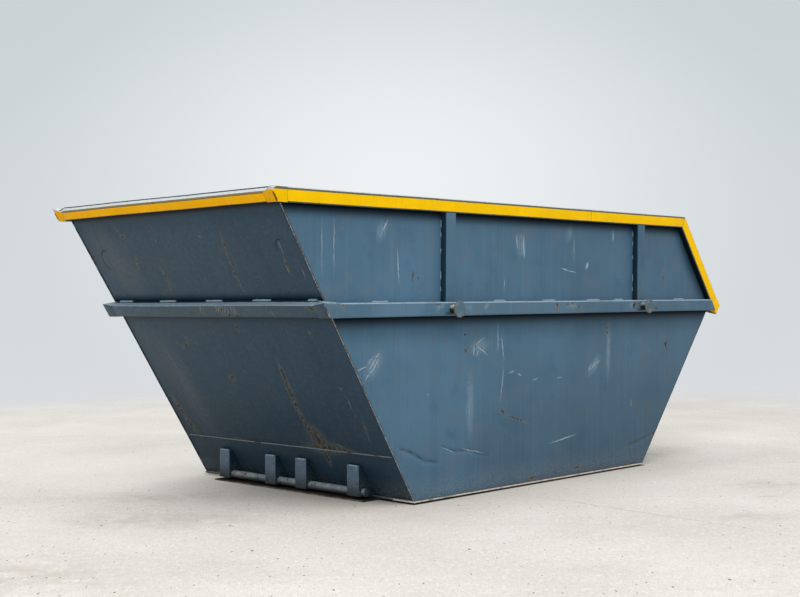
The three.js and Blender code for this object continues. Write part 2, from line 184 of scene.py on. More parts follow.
class Surface(Nodes):
    """A material's nodes, and its colour as laid so far."""

    def __init__(self, name):
        self.material = bpy.data.materials.new(name)
        self.material.use_nodes = True
        super().__init__(self.material.node_tree)
        self.position = self.add("ShaderNodeTexCoord").outputs["Object"]
        self.colour = None

    def noise(self, scale, detail=4.0, roughness=0.55, position=None):
        if position is None:
            position = self.position
        inputs = [("Vector", position), ("Scale", scale), ("Detail", detail), ("Roughness", roughness)]
        return self.output("ShaderNodeTexNoise", inputs)

    def stretched(self, scales, turn=0.0, detail=3.0, roughness=0.5):
        """Noise drawn out along some axes."""
        inputs = [("Vector", self.position), ("Rotation", (0, turn, 0)), ("Scale", scales)]
        return self.noise(1.0, detail, roughness, self.output("ShaderNodeMapping", inputs))

    def bent(self, place, scale, detail, reach):
        """How far to shift a place by noise, either way along and up."""
        inputs = [("Vector", place), ("Scale", scale), ("Detail", detail)]
        wobble = self.add("ShaderNodeTexNoise", inputs).outputs["Color"]
        return self.vector("MULTIPLY_ADD", wobble, (2 * reach, 2 * reach, 0), (-reach, -reach, 0))

    def placed(self, position, along, up, half_length, half_width, turn):
        """Position in a mark's own axes, with its middle at 0 and its edge 1 away."""
        inputs = [
            ("Vector", position),
            ("Location", (along, up, 0)),
            ("Rotation", (0, 0, math.radians(turn))),
            ("Scale", (half_length, half_width, 1)),
        ]
        return self.output("ShaderNodeMapping", inputs, vector_type="TEXTURE")

    def nearest(self, position, marks):
        """0 in the middle of the nearest mark, 1 at its edge, and more outside."""
        result = None
        for mark in marks:
            distance = self.vector("LENGTH", self.placed(position, *mark))
            result = distance if result is None else self.math("MINIMUM", result, distance)
        return result

    def lay(self, amount, tone, share=None):
        """Covers the colour with a tone where the amount is 1, or with a share of it."""
        if share is not None:
            amount = self.times(amount, share)
        self.colour = self.mix(amount, self.colour, tone)

    def tint(self, value, low, high, share, tone):
        self.lay(self.band(value, low, high), tone, share)

    def rust_chips(self, amount, grain, low=0.4, high=0.6, bright=None):
        """Rust, dark and light by its grain."""
        self.lay(amount, self.wash(grain, low, high, RUST_DARK, bright or RUST))

    def finish(self, roughness, metallic=0.0, height=None, bump=0.3, depth=0.001, specular=0.4):
        inputs = [("Base Color", self.colour), ("Roughness", roughness), ("Metallic", metallic)]
        inputs.append(("Specular IOR Level", specular))
        if height is not None:
            lift = [("Strength", bump), ("Distance", depth), ("Height", height)]
            inputs.append(("Normal", self.output("ShaderNodeBump", lift)))
        self.end("ShaderNodeOutputMaterial", self.output("ShaderNodeBsdfPrincipled", inputs))
        return self.material


# Paint and rust, as they lie on the skip
BLUE = (0.066, 0.146, 0.225)
# The front's paint, darkened as painted shade
BLUE_SHADED = (0.0205, 0.053, 0.085)
BLUE_UPRIGHT = (0.058, 0.130, 0.195)
BLUE_FOLD = (0.073, 0.150, 0.221)
# The front rail's paint, darkened as painted shade like the front's
BLUE_FRONT_RAIL = (0.041, 0.073, 0.099)
# Dark blue of painted shade: in bands by the rims and rails, on the shaded side of creases and rings
SHADE_BLUE = (0.010, 0.030, 0.048)
# Blacks of the painted shadow next to the rims and the rails
SHADOW_BLACK_SIDE = (0.002, 0.005, 0.008)
SHADOW_BLACK_FRONT = (0.002, 0.012, 0.022)
SHADOW_BLACK_UNDER = (0.016, 0.016, 0.015)
BLUE_PALE = (0.15, 0.245, 0.32)
BLUE_DUST_AND_SHEEN = (0.26, 0.36, 0.44)
CHALK = (0.36, 0.45, 0.51)
YELLOW = (0.90, 0.54, 0.002)
# A more orange copy of the yellow for the front rim: painted warm light from the floor
YELLOW_FRONT = (0.89, 0.445, 0.002)
YELLOW_DARK = (0.62, 0.33, 0.010)
OCHRE = (0.806, 0.392, 0.006)
RUST = (0.080, 0.062, 0.034)
RUST_DARK = (0.022, 0.019, 0.013)
RUST_BRIGHT = (0.26, 0.155, 0.075)
RUST_TAN = (0.25, 0.215, 0.145)
TAN = (0.19, 0.175, 0.130)
STEEL = (0.36, 0.35, 0.33)
STEEL_DARK = (0.10, 0.09, 0.085)
BLACKENED = (0.012, 0.011, 0.010)
DUST = (0.42, 0.37, 0.31)

# Marks on the near side plate: along from the floor's front corner, up, half length, half width
# and turn in degrees
SIDE_SCRATCHES = [
    (-0.129, 1.24, 0.12, 0.0045, 94),
    (-0.662, 1.34, 0.20, 0.0022, 90),
    (-0.582, 1.34, 0.20, 0.0026, 90),
    (0.842, 1.39, 0.050, 0.005, 98),
    (0.903, 1.370, 0.075, 0.005, 94),
    (0.912, 1.33, 0.045, 0.004, 88),
    (1.30, 1.24, 0.055, 0.0045, -14),
    (1.37, 1.228, 0.05, 0.0045, -9),
    (1.386, 1.36, 0.12, 0.003, 90),
    (1.79, 1.455, 0.045, 0.010, 90),
    (0.733, 1.15, 0.04, 0.0035, 88),
    (1.52, 1.265, 0.035, 0.015, 60),
    (-0.225, 1.45, 0.05, 0.006, 60),
    (-0.385, 0.718, 0.05, 0.0035, 15),
    (-0.325, 0.760, 0.045, 0.0035, 45),
    (-0.312, 0.737, 0.06, 0.0035, 52),
    (-0.290, 0.735, 0.06, 0.0040, 54),
    (-0.280, 0.780, 0.03, 0.0030, 30),
    (-0.336, 0.688, 0.03, 0.0040, 45),
    (-0.352, 0.672, 0.025, 0.0030, 60),
    (-0.318, 0.700, 0.015, 0.0050, 60),
    (0.53, 0.835, 0.06, 0.0030, 28),
    (0.545, 0.780, 0.085, 0.0035, -32),
    (0.475, 0.775, 0.035, 0.0050, 88),
    (0.505, 0.760, 0.03, 0.0040, 75),
    (0.722, 0.790, 0.12, 0.0040, 100),
    (0.718, 0.580, 0.13, 0.0040, 82),
    (0.680, 0.860, 0.11, 0.0060, 90),
    (0.800, 0.648, 0.032, 0.0070, 6),
    (0.875, 0.628, 0.025, 0.0050, -20),
    (1.02, 0.596, 0.035, 0.0040, 5),
    (1.25, 0.594, 0.04, 0.0030, 2),
    (1.555, 0.640, 0.035, 0.0045, 50),
    (1.60, 0.655, 0.045, 0.0045, 42),
    (1.645, 0.670, 0.03, 0.0035, 38),
    (1.29, 0.224, 0.18, 0.0045, 7.5),
    (2.003, 0.395, 0.035, 0.0035, 90),
    # These two run along a dent: pale lines, partly scratched paint and partly a painted highlight
    (0.47, 0.226, 0.13, 0.0060, -13),
    (0.27, 0.250, 0.07, 0.0035, -20),
    (0.106, 0.559, 0.012, 0.0035, 0),
]
# Painted shade: dark lines on the shaded side of the creases, and a wide dark band beside the slope rim
SIDE_SHADE_MARKS = [
    (-0.090, 0.284, 0.034, 0.0045, -13),
    (-0.028, 0.266, 0.036, 0.0050, -21),
    (0.045, 0.229, 0.045, 0.0050, -29),
    (0.140, 0.199, 0.060, 0.0040, -8),
    (0.232, 0.272, 0.034, 0.0035, -30),
    (0.300, 0.247, 0.040, 0.0030, -12),
    (0.390, 0.238, 0.056, 0.0030, -3),
    (0.485, 0.221, 0.045, 0.0030, -22),
    (1.98, 0.125, 0.050, 0.0035, 8),
    (2.07, 0.138, 0.040, 0.0035, 11),
    (2.20, 0.168, 0.090, 0.0035, 14),
    (2.715, 1.278, 0.46, 0.120, -52.5),
]
SIDE_CHALK = [
    (0.848, 1.400, 0.060, 0.024, 96),
    (0.878, 1.410, 0.055, 0.028, 90),
    (0.905, 1.375, 0.095, 0.022, 95),
    (1.34, 1.46, 0.08, 0.05, 70),
    (0.88, 1.37, 0.09, 0.06, 80),
    (0.443, 0.48, 0.24, 0.05, 90),
    (-0.25, 1.42, 0.08, 0.05, 60),
    (-0.30, 0.73, 0.12, 0.06, 50),
    (0.52, 0.80, 0.12, 0.06, 10),
    (1.60, 0.65, 0.12, 0.05, 40),
    (1.75, 0.75, 0.26, 0.035, 90),
]
SIDE_RUST = [
    (0.415, 0.790, 0.028, 0.013, 40),
    (0.400, 0.872, 0.010, 0.008, 0),
    (0.728, 0.425, 0.028, 0.015, -50),
    (0.86, 0.373, 0.10, 0.008, -18),
    (1.738, 0.865, 0.03, 0.016, 80),
    (2.395, 0.755, 0.05, 0.009, -62),
    (2.405, 0.765, 0.035, 0.007, 78),
    (2.365, 1.225, 0.05, 0.008, 78),
    (2.368, 1.25, 0.012, 0.010, 0),
    (-0.020, 1.19, 0.035, 0.007, 80),
    (0.022, 1.175, 0.015, 0.005, 80),
    (1.004, 0.022, 0.035, 0.016, 0),
    (1.431, 0.037, 0.035, 0.012, 20),
    (2.255, 0.172, 0.05, 0.011, 18),
    (1.96, 0.125, 0.03, 0.006, 10),
    (1.99, 0.40, 0.012, 0.012, 0),
    (-0.35, 0.645, 0.010, 0.007, 0),
]

# Marks on the front plates: across, up the slope, half length, half width and turn
FRONT_RUST = [
    (-0.352, 1.595, 0.055, 0.008, 105),
    (-0.327, 1.500, 0.10, 0.005, 100),
    (-0.320, 1.395, 0.06, 0.008, 92),
    (-0.328, 1.30, 0.08, 0.004, 86),
    (0.292, 1.405, 0.055, 0.011, 86),
    (0.305, 1.31, 0.06, 0.005, 80),
    (0.497, 1.500, 0.045, 0.009, 120),
    (0.530, 1.705, 0.045, 0.007, 65),
    (0.512, 1.672, 0.020, 0.013, 0),
    (0.201, 1.716, 0.018, 0.009, 60),
    (-0.188, 1.637, 0.012, 0.009, 0),
    (-0.122, 1.076, 0.022, 0.011, 80),
    (-0.692, 1.053, 0.012, 0.009, 0),
    (0.363, 0.989, 0.035, 0.009, 30),
    (0.436, 0.953, 0.04, 0.007, 150),
    (0.49, 0.955, 0.03, 0.006, 20),
    (0.148, 0.738, 0.026, 0.020, 0),
    (0.001, 0.785, 0.012, 0.010, 0),
    (-0.319, 0.785, 0.07, 0.012, 92),
    (-0.305, 0.690, 0.12, 0.019, 96),
    (-0.296, 0.600, 0.11, 0.015, 92),
    (-0.302, 0.500, 0.10, 0.013, 88),
    (-0.306, 0.420, 0.06, 0.016, 85),
    (-0.350, 0.355, 0.08, 0.055, 70),
    (-0.372, 0.300, 0.12, 0.036, 0),
    (-0.48, 0.298, 0.11, 0.016, 0),
    (-0.35, 0.245, 0.06, 0.018, 90),
    (0.832, 0.490, 0.07, 0.022, 80),
    (0.805, 0.365, 0.08, 0.018, 70),
    (0.560, 0.830, 0.06, 0.005, 70),
    (0.565, 0.755, 0.03, 0.006, 20),
    (-0.775, 0.440, 0.05, 0.008, 100),
    (0.374, 0.292, 0.05, 0.012, 0),
    (-0.188, 0.292, 0.03, 0.010, 0),
    (-0.76, 1.455, 0.04, 0.008, 95),
]
FRONT_SCRATCHES = [
    (-0.752, 1.440, 0.055, 0.005, 95),
    (-0.776, 1.555, 0.05, 0.005, 95),
    (-0.745, 0.620, 0.05, 0.0045, 92),
    (-0.730, 0.710, 0.02, 0.0040, 60),
    (-0.855, 1.40, 0.05, 0.0040, 95),
    (-0.292, 0.655, 0.03, 0.006, 90),
    (0.22, 1.63, 0.02, 0.004, 90),
    (-0.50, 0.33, 0.05, 0.004, 20),
    (0.65, 0.80, 0.20, 0.0035, 80),
]

# Marks on the far side plate and the rear plate
FAR_SCRATCHES = [
    (-0.30, 1.30, 0.13, 0.003, 88),
    (0.62, 1.22, 0.09, 0.004, 70),
    (0.66, 1.30, 0.06, 0.004, 64),
    (1.10, 1.40, 0.07, 0.004, 92),
    (1.62, 1.22, 0.10, 0.004, -12),
    (2.30, 1.15, 0.06, 0.004, 60),
    (0.18, 0.62, 0.20, 0.004, 84),
    (0.75, 0.44, 0.16, 0.005, -9),
    (0.95, 0.72, 0.05, 0.004, 30),
    (1.02, 0.70, 0.06, 0.004, 38),
    (1.55, 0.30, 0.14, 0.005, 12),
    (1.90, 0.62, 0.12, 0.004, 95),
]
FAR_CHALK = [
    (0.64, 1.26, 0.12, 0.05, 68),
    (0.98, 0.71, 0.12, 0.05, 35),
    (1.72, 0.52, 0.22, 0.05, 90),
    (-0.10, 1.40, 0.08, 0.05, 80),
]
FAR_RUST = [
    (0.05, 0.84, 0.030, 0.014, 60),
    (0.52, 0.34, 0.090, 0.008, -24),
    (1.20, 0.86, 0.028, 0.012, 80),
    (1.31, 0.20, 0.040, 0.016, 10),
    (1.74, 0.76, 0.110, 0.007, 88),
    (0.86, 1.18, 0.050, 0.009, 75),
    (2.16, 1.30, 0.045, 0.009, 80),
    (0.40, 0.03, 0.040, 0.014, 0),
    (1.80, 0.04, 0.050, 0.012, 8),
]
REAR_SCRATCHES = [
    (-0.42, 0.90, 0.20, 0.004, 86),
    (0.10, 0.76, 0.16, 0.005, 12),
    (0.16, 0.72, 0.09, 0.004, 20),
    (0.55, 1.02, 0.12, 0.004, 94),
    (-0.10, 0.42, 0.18, 0.004, 80),
    (0.38, 0.38, 0.10, 0.005, -18),
    (-0.62, 0.46, 0.08, 0.004, 50),
]
REAR_CHALK = [
    (0.12, 0.74, 0.20, 0.07, 14),
    (-0.44, 0.80, 0.24, 0.06, 88),
]
REAR_RUST = [
    (-0.24, 1.05, 0.060, 0.012, 84),
    (-0.22, 0.92, 0.100, 0.009, 90),
    (0.44, 0.64, 0.030, 0.018, 40),
    (0.70, 0.30, 0.070, 0.014, 74),
    (-0.55, 0.18, 0.090, 0.022, 6),
    (0.02, 0.10, 0.060, 0.016, 0),
    (0.30, 1.16, 0.040, 0.012, 80),
]

# Painted shadow on the rail around the lugs, and chalky rubs on the rail and on the lug discs
RAIL_LUG_SHADOWS = [
    (0.205, 0.992, 0.050, 0.014, 0),
    (0.235, 1.005, 0.030, 0.022, 0),
    (2.015, 0.992, 0.050, 0.014, 0),
    (2.045, 1.005, 0.030, 0.022, 0),
]
RAIL_CHALK = [
    (0.14, 1.03, 0.05, 0.025, 20),
    (0.35, 1.02, 0.06, 0.028, 0),
    (0.52, 1.03, 0.05, 0.022, 40),
    (1.30, 1.02, 0.07, 0.020, 0),
    (1.93, 1.02, 0.05, 0.030, 0),
    (2.13, 1.03, 0.04, 0.020, 30),
]
DISC_CHALK = [
    (0.236, 0.985, 0.045, 0.020, 0),
    (0.215, 1.045, 0.030, 0.012, 60),
    (2.046, 0.985, 0.045, 0.020, 0),
    (2.025, 1.045, 0.030, 0.012, 60),
]

# Rust at the ends of the lug discs, where they stand along the near side
DISC_RUST = [
    (0.258, 0.985, 0.030, 0.008, 40), (0.280, 1.02, 0.035, 0.008, 80),
    (2.066, 0.985, 0.030, 0.008, 40), (2.090, 1.02, 0.035, 0.008, 80),
]

# Rings pressed into the front, drawn as painted shade: across, up, radius, line and the turn of the deep
# side
FRONT_RINGS = [
    (0.765, 1.525, 0.052, 0.007, 20),
    (-0.777, 1.562, 0.030, 0.008, 40),
]
# Painted shade by the rims and the rails: where it starts, where it ends, its share and its tone
SIDE_SHADE_BANDS = [
    (1.534, 1.43, 0.16, SHADE_BLUE),
    (1.534, 1.456, 0.985, SHADOW_BLACK_SIDE),
    (0.980, 0.78, 0.52, SHADE_BLUE),
    (0.982, 0.903, 0.985, SHADOW_BLACK_SIDE),
]
FRONT_SHADE_BANDS = [
    (1.800, 1.64, 0.35, SHADE_BLUE),
    (1.800, 1.755, 0.92, SHADOW_BLACK_UNDER),
    (1.172, 1.03, 0.30, SHADE_BLUE),
    (1.172, 1.085, 0.62, SHADOW_BLACK_UNDER),
    (1.246, 1.310, 0.96, SHADOW_BLACK_FRONT),
]
REAR_SHADE_BANDS = [(1.22, 1.10, 0.6, SHADE_BLUE), (1.23, 1.16, 0.9, SHADOW_BLACK_SIDE)]
# The brackets grow darker towards their feet
FOOT_DARK_BANDS = [(0.010, 0.150, 0.80, (0.027, 0.030, 0.028))]

# Marks on the rail's faces
RAIL_RUST = [
    (0.13, 1.045, 0.030, 0.008, 10),
    (0.30, 1.02, 0.02, 0.006, 60),
    (1.15, 1.02, 0.03, 0.020, 70),
    (1.36, 1.01, 0.03, 0.007, 60),
    (1.28, 1.035, 0.04, 0.008, 10),
    (1.95, 1.02, 0.03, 0.020, 60),
    (2.20, 1.00, 0.02, 0.012, 0),
    (-0.56, 1.045, 0.03, 0.020, 60),
]
FRONT_RAIL_RUST = [
    (0.060, 1.225, 0.030, 0.010, 20),
    (0.015, 1.165, 0.040, 0.005, 105),
    (-0.150, 1.200, 0.030, 0.008, 118),
    (-0.190, 1.160, 0.020, 0.008, 150),
    (-0.250, 1.16, 0.045, 0.010, 100),
    (-0.860, 1.20, 0.030, 0.012, 30),
]
FRONT_RAIL_SCRAPES = [
    (0.040, 1.200, 0.040, 0.004, 115),
    (0.030, 1.180, 0.030, 0.003, 105),
    (-0.105, 1.205, 0.045, 0.004, 110),
    (-0.125, 1.200, 0.050, 0.004, 122),
    (-0.150, 1.195, 0.055, 0.005, 118),
    (-0.168, 1.185, 0.050, 0.004, 126),
    (-0.190, 1.180, 0.045, 0.003, 115),
    (-0.228, 1.200, 0.050, 0.004, 95),
    (-0.245, 1.185, 0.040, 0.004, 110),
    (0.35, 1.215, 0.030, 0.003, 10),
    (-0.55, 1.170, 0.025, 0.003, 60),
]

# Rust at the feet of the brackets: across, up, half length, half width and turn
BRACKET_RUST = [
    (-0.56, 0.006, 0.060, 0.016, 0),
    (-0.59, 0.090, 0.016, 0.006, 80),
    (-0.133, 0.004, 0.050, 0.008, 0),
    (0.133, 0.004, 0.050, 0.008, 0),
    (0.56, 0.008, 0.055, 0.020, 0),
    (0.10, 0.150, 0.010, 0.006, 70),
]


def plate_position(surface, where):
    """Position on a plate: along it and up it from the floor, then bent a little so marks look torn."""
    parts = surface.parts(surface.position)
    slope = {"side": LEAN, "front": FRONT_SLOPE, "rear": REAR_SLOPE}[where]
    up = surface.math("DIVIDE", surface.math("SUBTRACT", parts[2], FLOOR_TOP), math.cos(slope))
    along = surface.math("SUBTRACT", parts[0], HULL_START) if where == "side" else parts[1]
    place = surface.add("ShaderNodeCombineXYZ", [("X", along), ("Y", up)]).outputs[0]
    return place, surface.vector("ADD", place, surface.bent(place, 34.0, 3.0, 0.006))


def tinted(tone, share, more=0.0):
    return tuple(share * part + more for part in tone)


def streaks(surface, where, width, length):
    """Upright streaks, as rain and dirt draw them."""
    across = (width, 0.7, length) if where == "side" else (0.4, width, length)
    return surface.stretched(across, detail=4.0, roughness=0.65)


def dark_bands(surface, up, bands):
    """Darker bands below or above a fold, and how much of them lies there."""
    most = 0.0
    for start, end, share, tone in bands:
        near = surface.band(up, end, start)
        side = "LESS_THAN" if end < start else "GREATER_THAN"
        here = surface.math(side, up, start + (0.02 if end < start else -0.02))
        under = surface.times(surface.math("POWER", near, 1.2), here)
        amount = surface.times(under, share)
        surface.lay(amount, tone)
        most = surface.most(most, amount)
    return most


def ring_shade_lines(surface, place, rings):
    """1 on the line of a pressed ring, only where the ring is deep: the painted shade of its groove."""
    result = None
    for along, up, radius, line, cut_turn in rings:
        inside = surface.placed(place, along, up, radius, radius * 1.25, cut_turn)
        off = surface.math("ABSOLUTE", surface.math("SUBTRACT", surface.vector("LENGTH", inside), 1.0))
        side = surface.parts(inside)[0]
        mark = surface.times(surface.band(off, line / radius, 0.0), surface.band(side, -0.25, 0.35))
        result = mark if result is None else surface.most(result, mark)
    return result


def old_paint(surface, base, cloud):
    """Blue that has faded in clouds, with grey and deep patches."""
    surface.colour = surface.wash(cloud, 0.28, 0.72, tinted(base, 0.86), tinted(base, 1.12))
    blotch = surface.noise(6.5, 5.0, 0.62)
    surface.tint(blotch, 0.50, 0.70, 0.60, tinted(base, 0.55, 0.45 * sum(base) / 3))
    surface.tint(blotch, 0.47, 0.27, 0.70, (0.62 * base[0], 0.80 * base[1], 0.86 * base[2]))


def side_painted_shade(surface, base, along, up):
    """Painted shade: the side grows darker to the rear and to its foot."""
    surface.tint(along, -1.2, 2.9, 0.26, tinted(base, 0.2))
    low = surface.times(surface.band(up, 0.95, 0.0), surface.band(along, -0.6, 1.6))
    surface.lay(low, tinted(base, 0.1), 0.35)


def front_painted_shade(surface, base, place, up, along, grain):
    """Painted shade to the front's near edge and foot, a painted sheen on its far half, and a grain."""
    surface.tint(along, 0.1, -0.9, 0.32, (0.30 * base[0], 0.58 * base[1], 0.80 * base[2]))
    low = surface.math("POWER", surface.band(up, 1.05, 0.10), 1.4)
    surface.lay(low, tinted(base, 0.3), 0.52)
    # A painted sheen on the far half
    sheen = surface.nearest(place, [(0.70, 0.70, 0.66, 0.19, 76), (0.70, 1.50, 0.40, 0.22, 70)])
    surface.tint(sheen, 1.0, 0.0, 0.56, (0.076, 0.092, 0.108))
    surface.tint(grain, 0.51, 0.68, 0.34, tinted(base, 1.5, 0.015))
    surface.tint(grain, 0.49, 0.34, 0.42, tinted(base, 0.62))


def weathering(surface, where, base, wear):
    """Streaks of three widths, pale and dark. Gives back the finest."""
    pale = tinted(base, 1.5, 0.015)
    dark = tinted(base, 0.62)
    run = streaks(surface, where, 38.0, 0.8)
    thread = streaks(surface, where, 170.0, 1.3)
    drip = streaks(surface, where, 19.0, 0.6)
    surface.tint(thread, 0.50, 0.72, 0.15 * wear, pale)
    surface.tint(thread, 0.48, 0.28, 0.16 * wear, dark)
    surface.tint(run, 0.56, 0.78, 0.20 * wear, pale)
    surface.tint(drip, 0.44, 0.22, 0.34 * wear, dark)
    return thread


def hairlines(surface, wear):
    """Fine upright and slanting scratches in patches. Gives back the patches and how much shows."""
    upright = surface.band(surface.stretched((190.0, 190.0, 9.0), 0.10), 0.73, 0.79)
    slanting = surface.band(surface.stretched((150.0, 150.0, 11.0), -0.55), 0.745, 0.80)
    hairs = surface.most(upright, slanting)
    patches = surface.band(surface.noise(3.1, 2.0), 0.50, 0.66)
    amount = surface.times(surface.times(hairs, patches), 0.40 * wear)
    surface.lay(amount, CHALK)
    return patches, amount


def rust_marks(surface, torn, rust, speckle, grain):
    """Rust with a tan halo, a brown stain and a dark core. Gives back the stain."""
    near = surface.nearest(torn, rust)
    halo = surface.times(surface.band(near, 1.8, 0.4), surface.band(speckle, 0.36, 0.62))
    surface.lay(halo, TAN, 0.55)
    stain = surface.times(surface.band(near, 1.35, 0.4), surface.band(grain, 0.42, 0.58))
    surface.lay(stain, RUST, 0.80)
    core = surface.times(surface.band(near, 0.95, 0.30), surface.band(grain, 0.46, 0.58))
    surface.lay(core, RUST_DARK, 0.95)
    return stain


def paint(
    name, where, base=BLUE, scratches=(), chalk=(), rust=(), rings=(), bands=(), creases=(),
    wear=1.0, scraped=CHALK,
):
    """Old blue paint with streaks, scratches, chalky rubs and rust, and painted shade and sheen."""
    surface = Surface(name)
    place, torn = plate_position(surface, where)
    along, up, _ = surface.parts(place)
    cloud = surface.noise(1.7, 5.0, 0.6)
    fine = surface.noise(190.0, 2.0)
    grain = surface.noise(42.0, 4.0, 0.72)
    old_paint(surface, base, cloud)
    if where == "side":
        side_painted_shade(surface, base, along, up)
    elif where == "front":
        front_painted_shade(surface, base, place, up, along, grain)
    thread = weathering(surface, where, base, wear)
    patches, scratched = hairlines(surface, wear)

    speckle = surface.noise(130.0, 3.0, 0.6)
    if chalk:
        rubbed = surface.band(surface.nearest(torn, chalk), 1.0, 0.1)
        rubbed = surface.times(rubbed, surface.band(thread, 0.28, 0.58))
        rubbed = surface.times(rubbed, surface.band(speckle, 0.34, 0.54))
        surface.lay(rubbed, CHALK, 0.33)
    if scratches:
        cut = surface.band(surface.nearest(torn, scratches), 1.0, 0.2)
        cut = surface.times(cut, surface.band(grain, 0.30, 0.50))
        surface.lay(cut, scraped, 0.88)
        scratched = surface.most(scratched, cut)
    # Painted shade from the marks given as creases: shaded sides of creases, beside the slope rim, round
    # lugs
    if creases:
        surface.tint(surface.nearest(torn, creases), 1.0, 0.1, 0.70, SHADE_BLUE)

    specks = surface.band(surface.noise(26.0, 6.0, 0.75), 0.715, 0.76)
    rusted = surface.times(specks, surface.band(surface.noise(1.6, 2.0), 0.54, 0.64))
    if rust:
        rusted = surface.most(rusted, rust_marks(surface, torn, rust, speckle, grain))
        specks = surface.times(specks, patches)
    surface.lay(specks, RUST, 0.55)
    # Painted shade on the deep side of the pressed rings
    if rings:
        pressed = ring_shade_lines(surface, place, rings)
        surface.lay(pressed, SHADE_BLUE, 0.75)
        rusted = surface.most(rusted, pressed)

    splash = surface.times(surface.band(up, 0.16, 0.0), surface.band(speckle, 0.45, 0.66))
    surface.lay(splash, DUST, 0.28)
    # Painted shade in bands by the rims and the rails, where the paint also shines less
    darkened = dark_bands(surface, up, bands)

    dull = surface.most(surface.times(scratched, 0.3), rusted)
    rough = surface.math("ADD", surface.times(dull, 0.35), surface.scaled(cloud, 0.16, 0.34))
    lift = surface.math("SUBTRACT", surface.times(rusted, grain), surface.times(scratched, 0.25))
    lift = surface.math("ADD", lift, surface.times(fine, 0.10))
    shine = surface.scaled(darkened, -0.21, 0.22)
    return surface.finish(rough, height=lift, bump=0.40, depth=0.0012, specular=shine)


def yellow_paint(name, base=YELLOW, chipped=0.73, dirt=0.22):
    """Yellow paint, with dirt in patches, and dark chips with rust."""
    surface = Surface(name)
    cloud = surface.noise(5.0, 5.0, 0.6)
    grain = surface.noise(60.0, 4.0, 0.7)
    surface.colour = surface.wash(cloud, 0.3, 0.72, tinted(base, 0.9), base)
    surface.tint(surface.stretched((45.0, 45.0, 2.0), detail=4.0), 0.58, 0.72, dirt, YELLOW_DARK)
    chips = surface.band(surface.noise(42.0, 5.0, 0.7), chipped, chipped + 0.05)
    chips = surface.times(chips, surface.band(surface.noise(4.0, 2.0), 0.45, 0.6))
    surface.rust_chips(chips, grain)
    rough = surface.scaled(cloud, 0.2, 0.30)
    lift = surface.math("SUBTRACT", surface.times(grain, 0.1), surface.times(chips, 0.4))
    return surface.finish(rough, height=lift, specular=0.03)


def bare_edge(name, tone=STEEL, rust_share=0.40, rust=RUST_BRIGHT):
    """Sheet edges where the paint is rubbed off: pale steel, dust and rust."""
    surface = Surface(name)
    grain = surface.noise(55.0, 5.0, 0.7)
    cloud = surface.noise(6.0, 4.0, 0.6)
    surface.colour = surface.wash(grain, 0.30, 0.70, tinted(tone, 0.65), tone)
    surface.rust_chips(surface.band(cloud, rust_share + 0.04, rust_share - 0.05), grain, 0.35, 0.65, rust)
    surface.tint(surface.noise(14.0, 3.0), 0.58, 0.64, 0.6, BLUE_PALE)
    return surface.finish(surface.scaled(grain, 0.3, 0.45), height=grain, bump=0.5)


def worn_inside(name):
    """The inside of the hull: paint scraped to steel by rubble, rust and dust."""
    surface = Surface(name)
    cloud = surface.noise(1.5, 9.0, 0.68)
    grain = surface.noise(46.0, 5.0, 0.7)
    scrape = surface.stretched((4.0, 4.0, 48.0), 0.42, detail=6.0, roughness=0.72)
    drop = surface.stretched((30.0, 30.0, 2.2), detail=6.0, roughness=0.7)
    height = surface.parts(surface.position)[2]
    low = surface.band(height, 1.25, 0.10)
    worn = surface.math("ADD", surface.scaled(low, 0.16, -0.06), cloud)
    brown = surface.wash(grain, 0.35, 0.65, (0.050, 0.040, 0.030), (0.105, 0.078, 0.052))
    surface.colour = surface.wash(worn, 0.47, 0.60, (0.050, 0.095, 0.130), brown)
    bare = surface.times(surface.band(scrape, 0.52, 0.64), surface.band(worn, 0.38, 0.58))
    surface.lay(bare, (0.16, 0.155, 0.15), 0.75)
    surface.tint(drop, 0.54, 0.70, 0.45, (0.14, 0.135, 0.125))
    surface.tint(drop, 0.46, 0.30, 0.45, (0.028, 0.030, 0.030))
    bright = surface.times(surface.band(grain, 0.58, 0.72), surface.band(worn, 0.50, 0.62))
    surface.lay(bright, RUST_BRIGHT, 0.5)
    settled = surface.times(surface.band(height, 0.35, 0.015), surface.band(cloud, 0.38, 0.6))
    surface.lay(settled, DUST, 0.75)
    rough = surface.scaled(grain, 0.3, 0.5)
    lift = surface.math("ADD", grain, surface.math("ADD", scrape, drop))
    return surface.finish(rough, height=lift, bump=0.6, depth=0.002, specular=0.25)


def rusty_steel(name, base=RUST, pale=STEEL_DARK):
    surface = Surface(name)
    cloud = surface.noise(9.0, 5.0, 0.65)
    grain = surface.noise(90.0, 5.0, 0.7)
    surface.colour = surface.wash(cloud, 0.35, 0.65, pale, base)
    surface.tint(grain, 0.5, 0.7, 0.6, RUST_DARK)
    return surface.finish(surface.scaled(grain, 0.3, 0.55), height=grain, bump=0.6, specular=0.2)


def worn_steel_shaded_below(name, tone, bare, shade):
    """Steel with paint left in places, bright rubbed spots and rust, painted black underneath as shade."""
    surface = Surface(name)
    cloud = surface.noise(16.0, 5.0, 0.6)
    grain = surface.noise(120.0, 4.0, 0.7)
    surface.colour = surface.wash(cloud, 0.46, 0.62, tone, bare)
    surface.rust_chips(surface.band(surface.noise(24.0, 5.0), 0.60, 0.68), grain)
    metal = surface.times(surface.band(cloud, 0.48, 0.60), 0.2)
    surface.tint(surface.parts(surface.position)[2], *shade, (0.004, 0.004, 0.003))
    return surface.finish(surface.scaled(grain, 0.25, 0.40), metal, grain, 0.35)


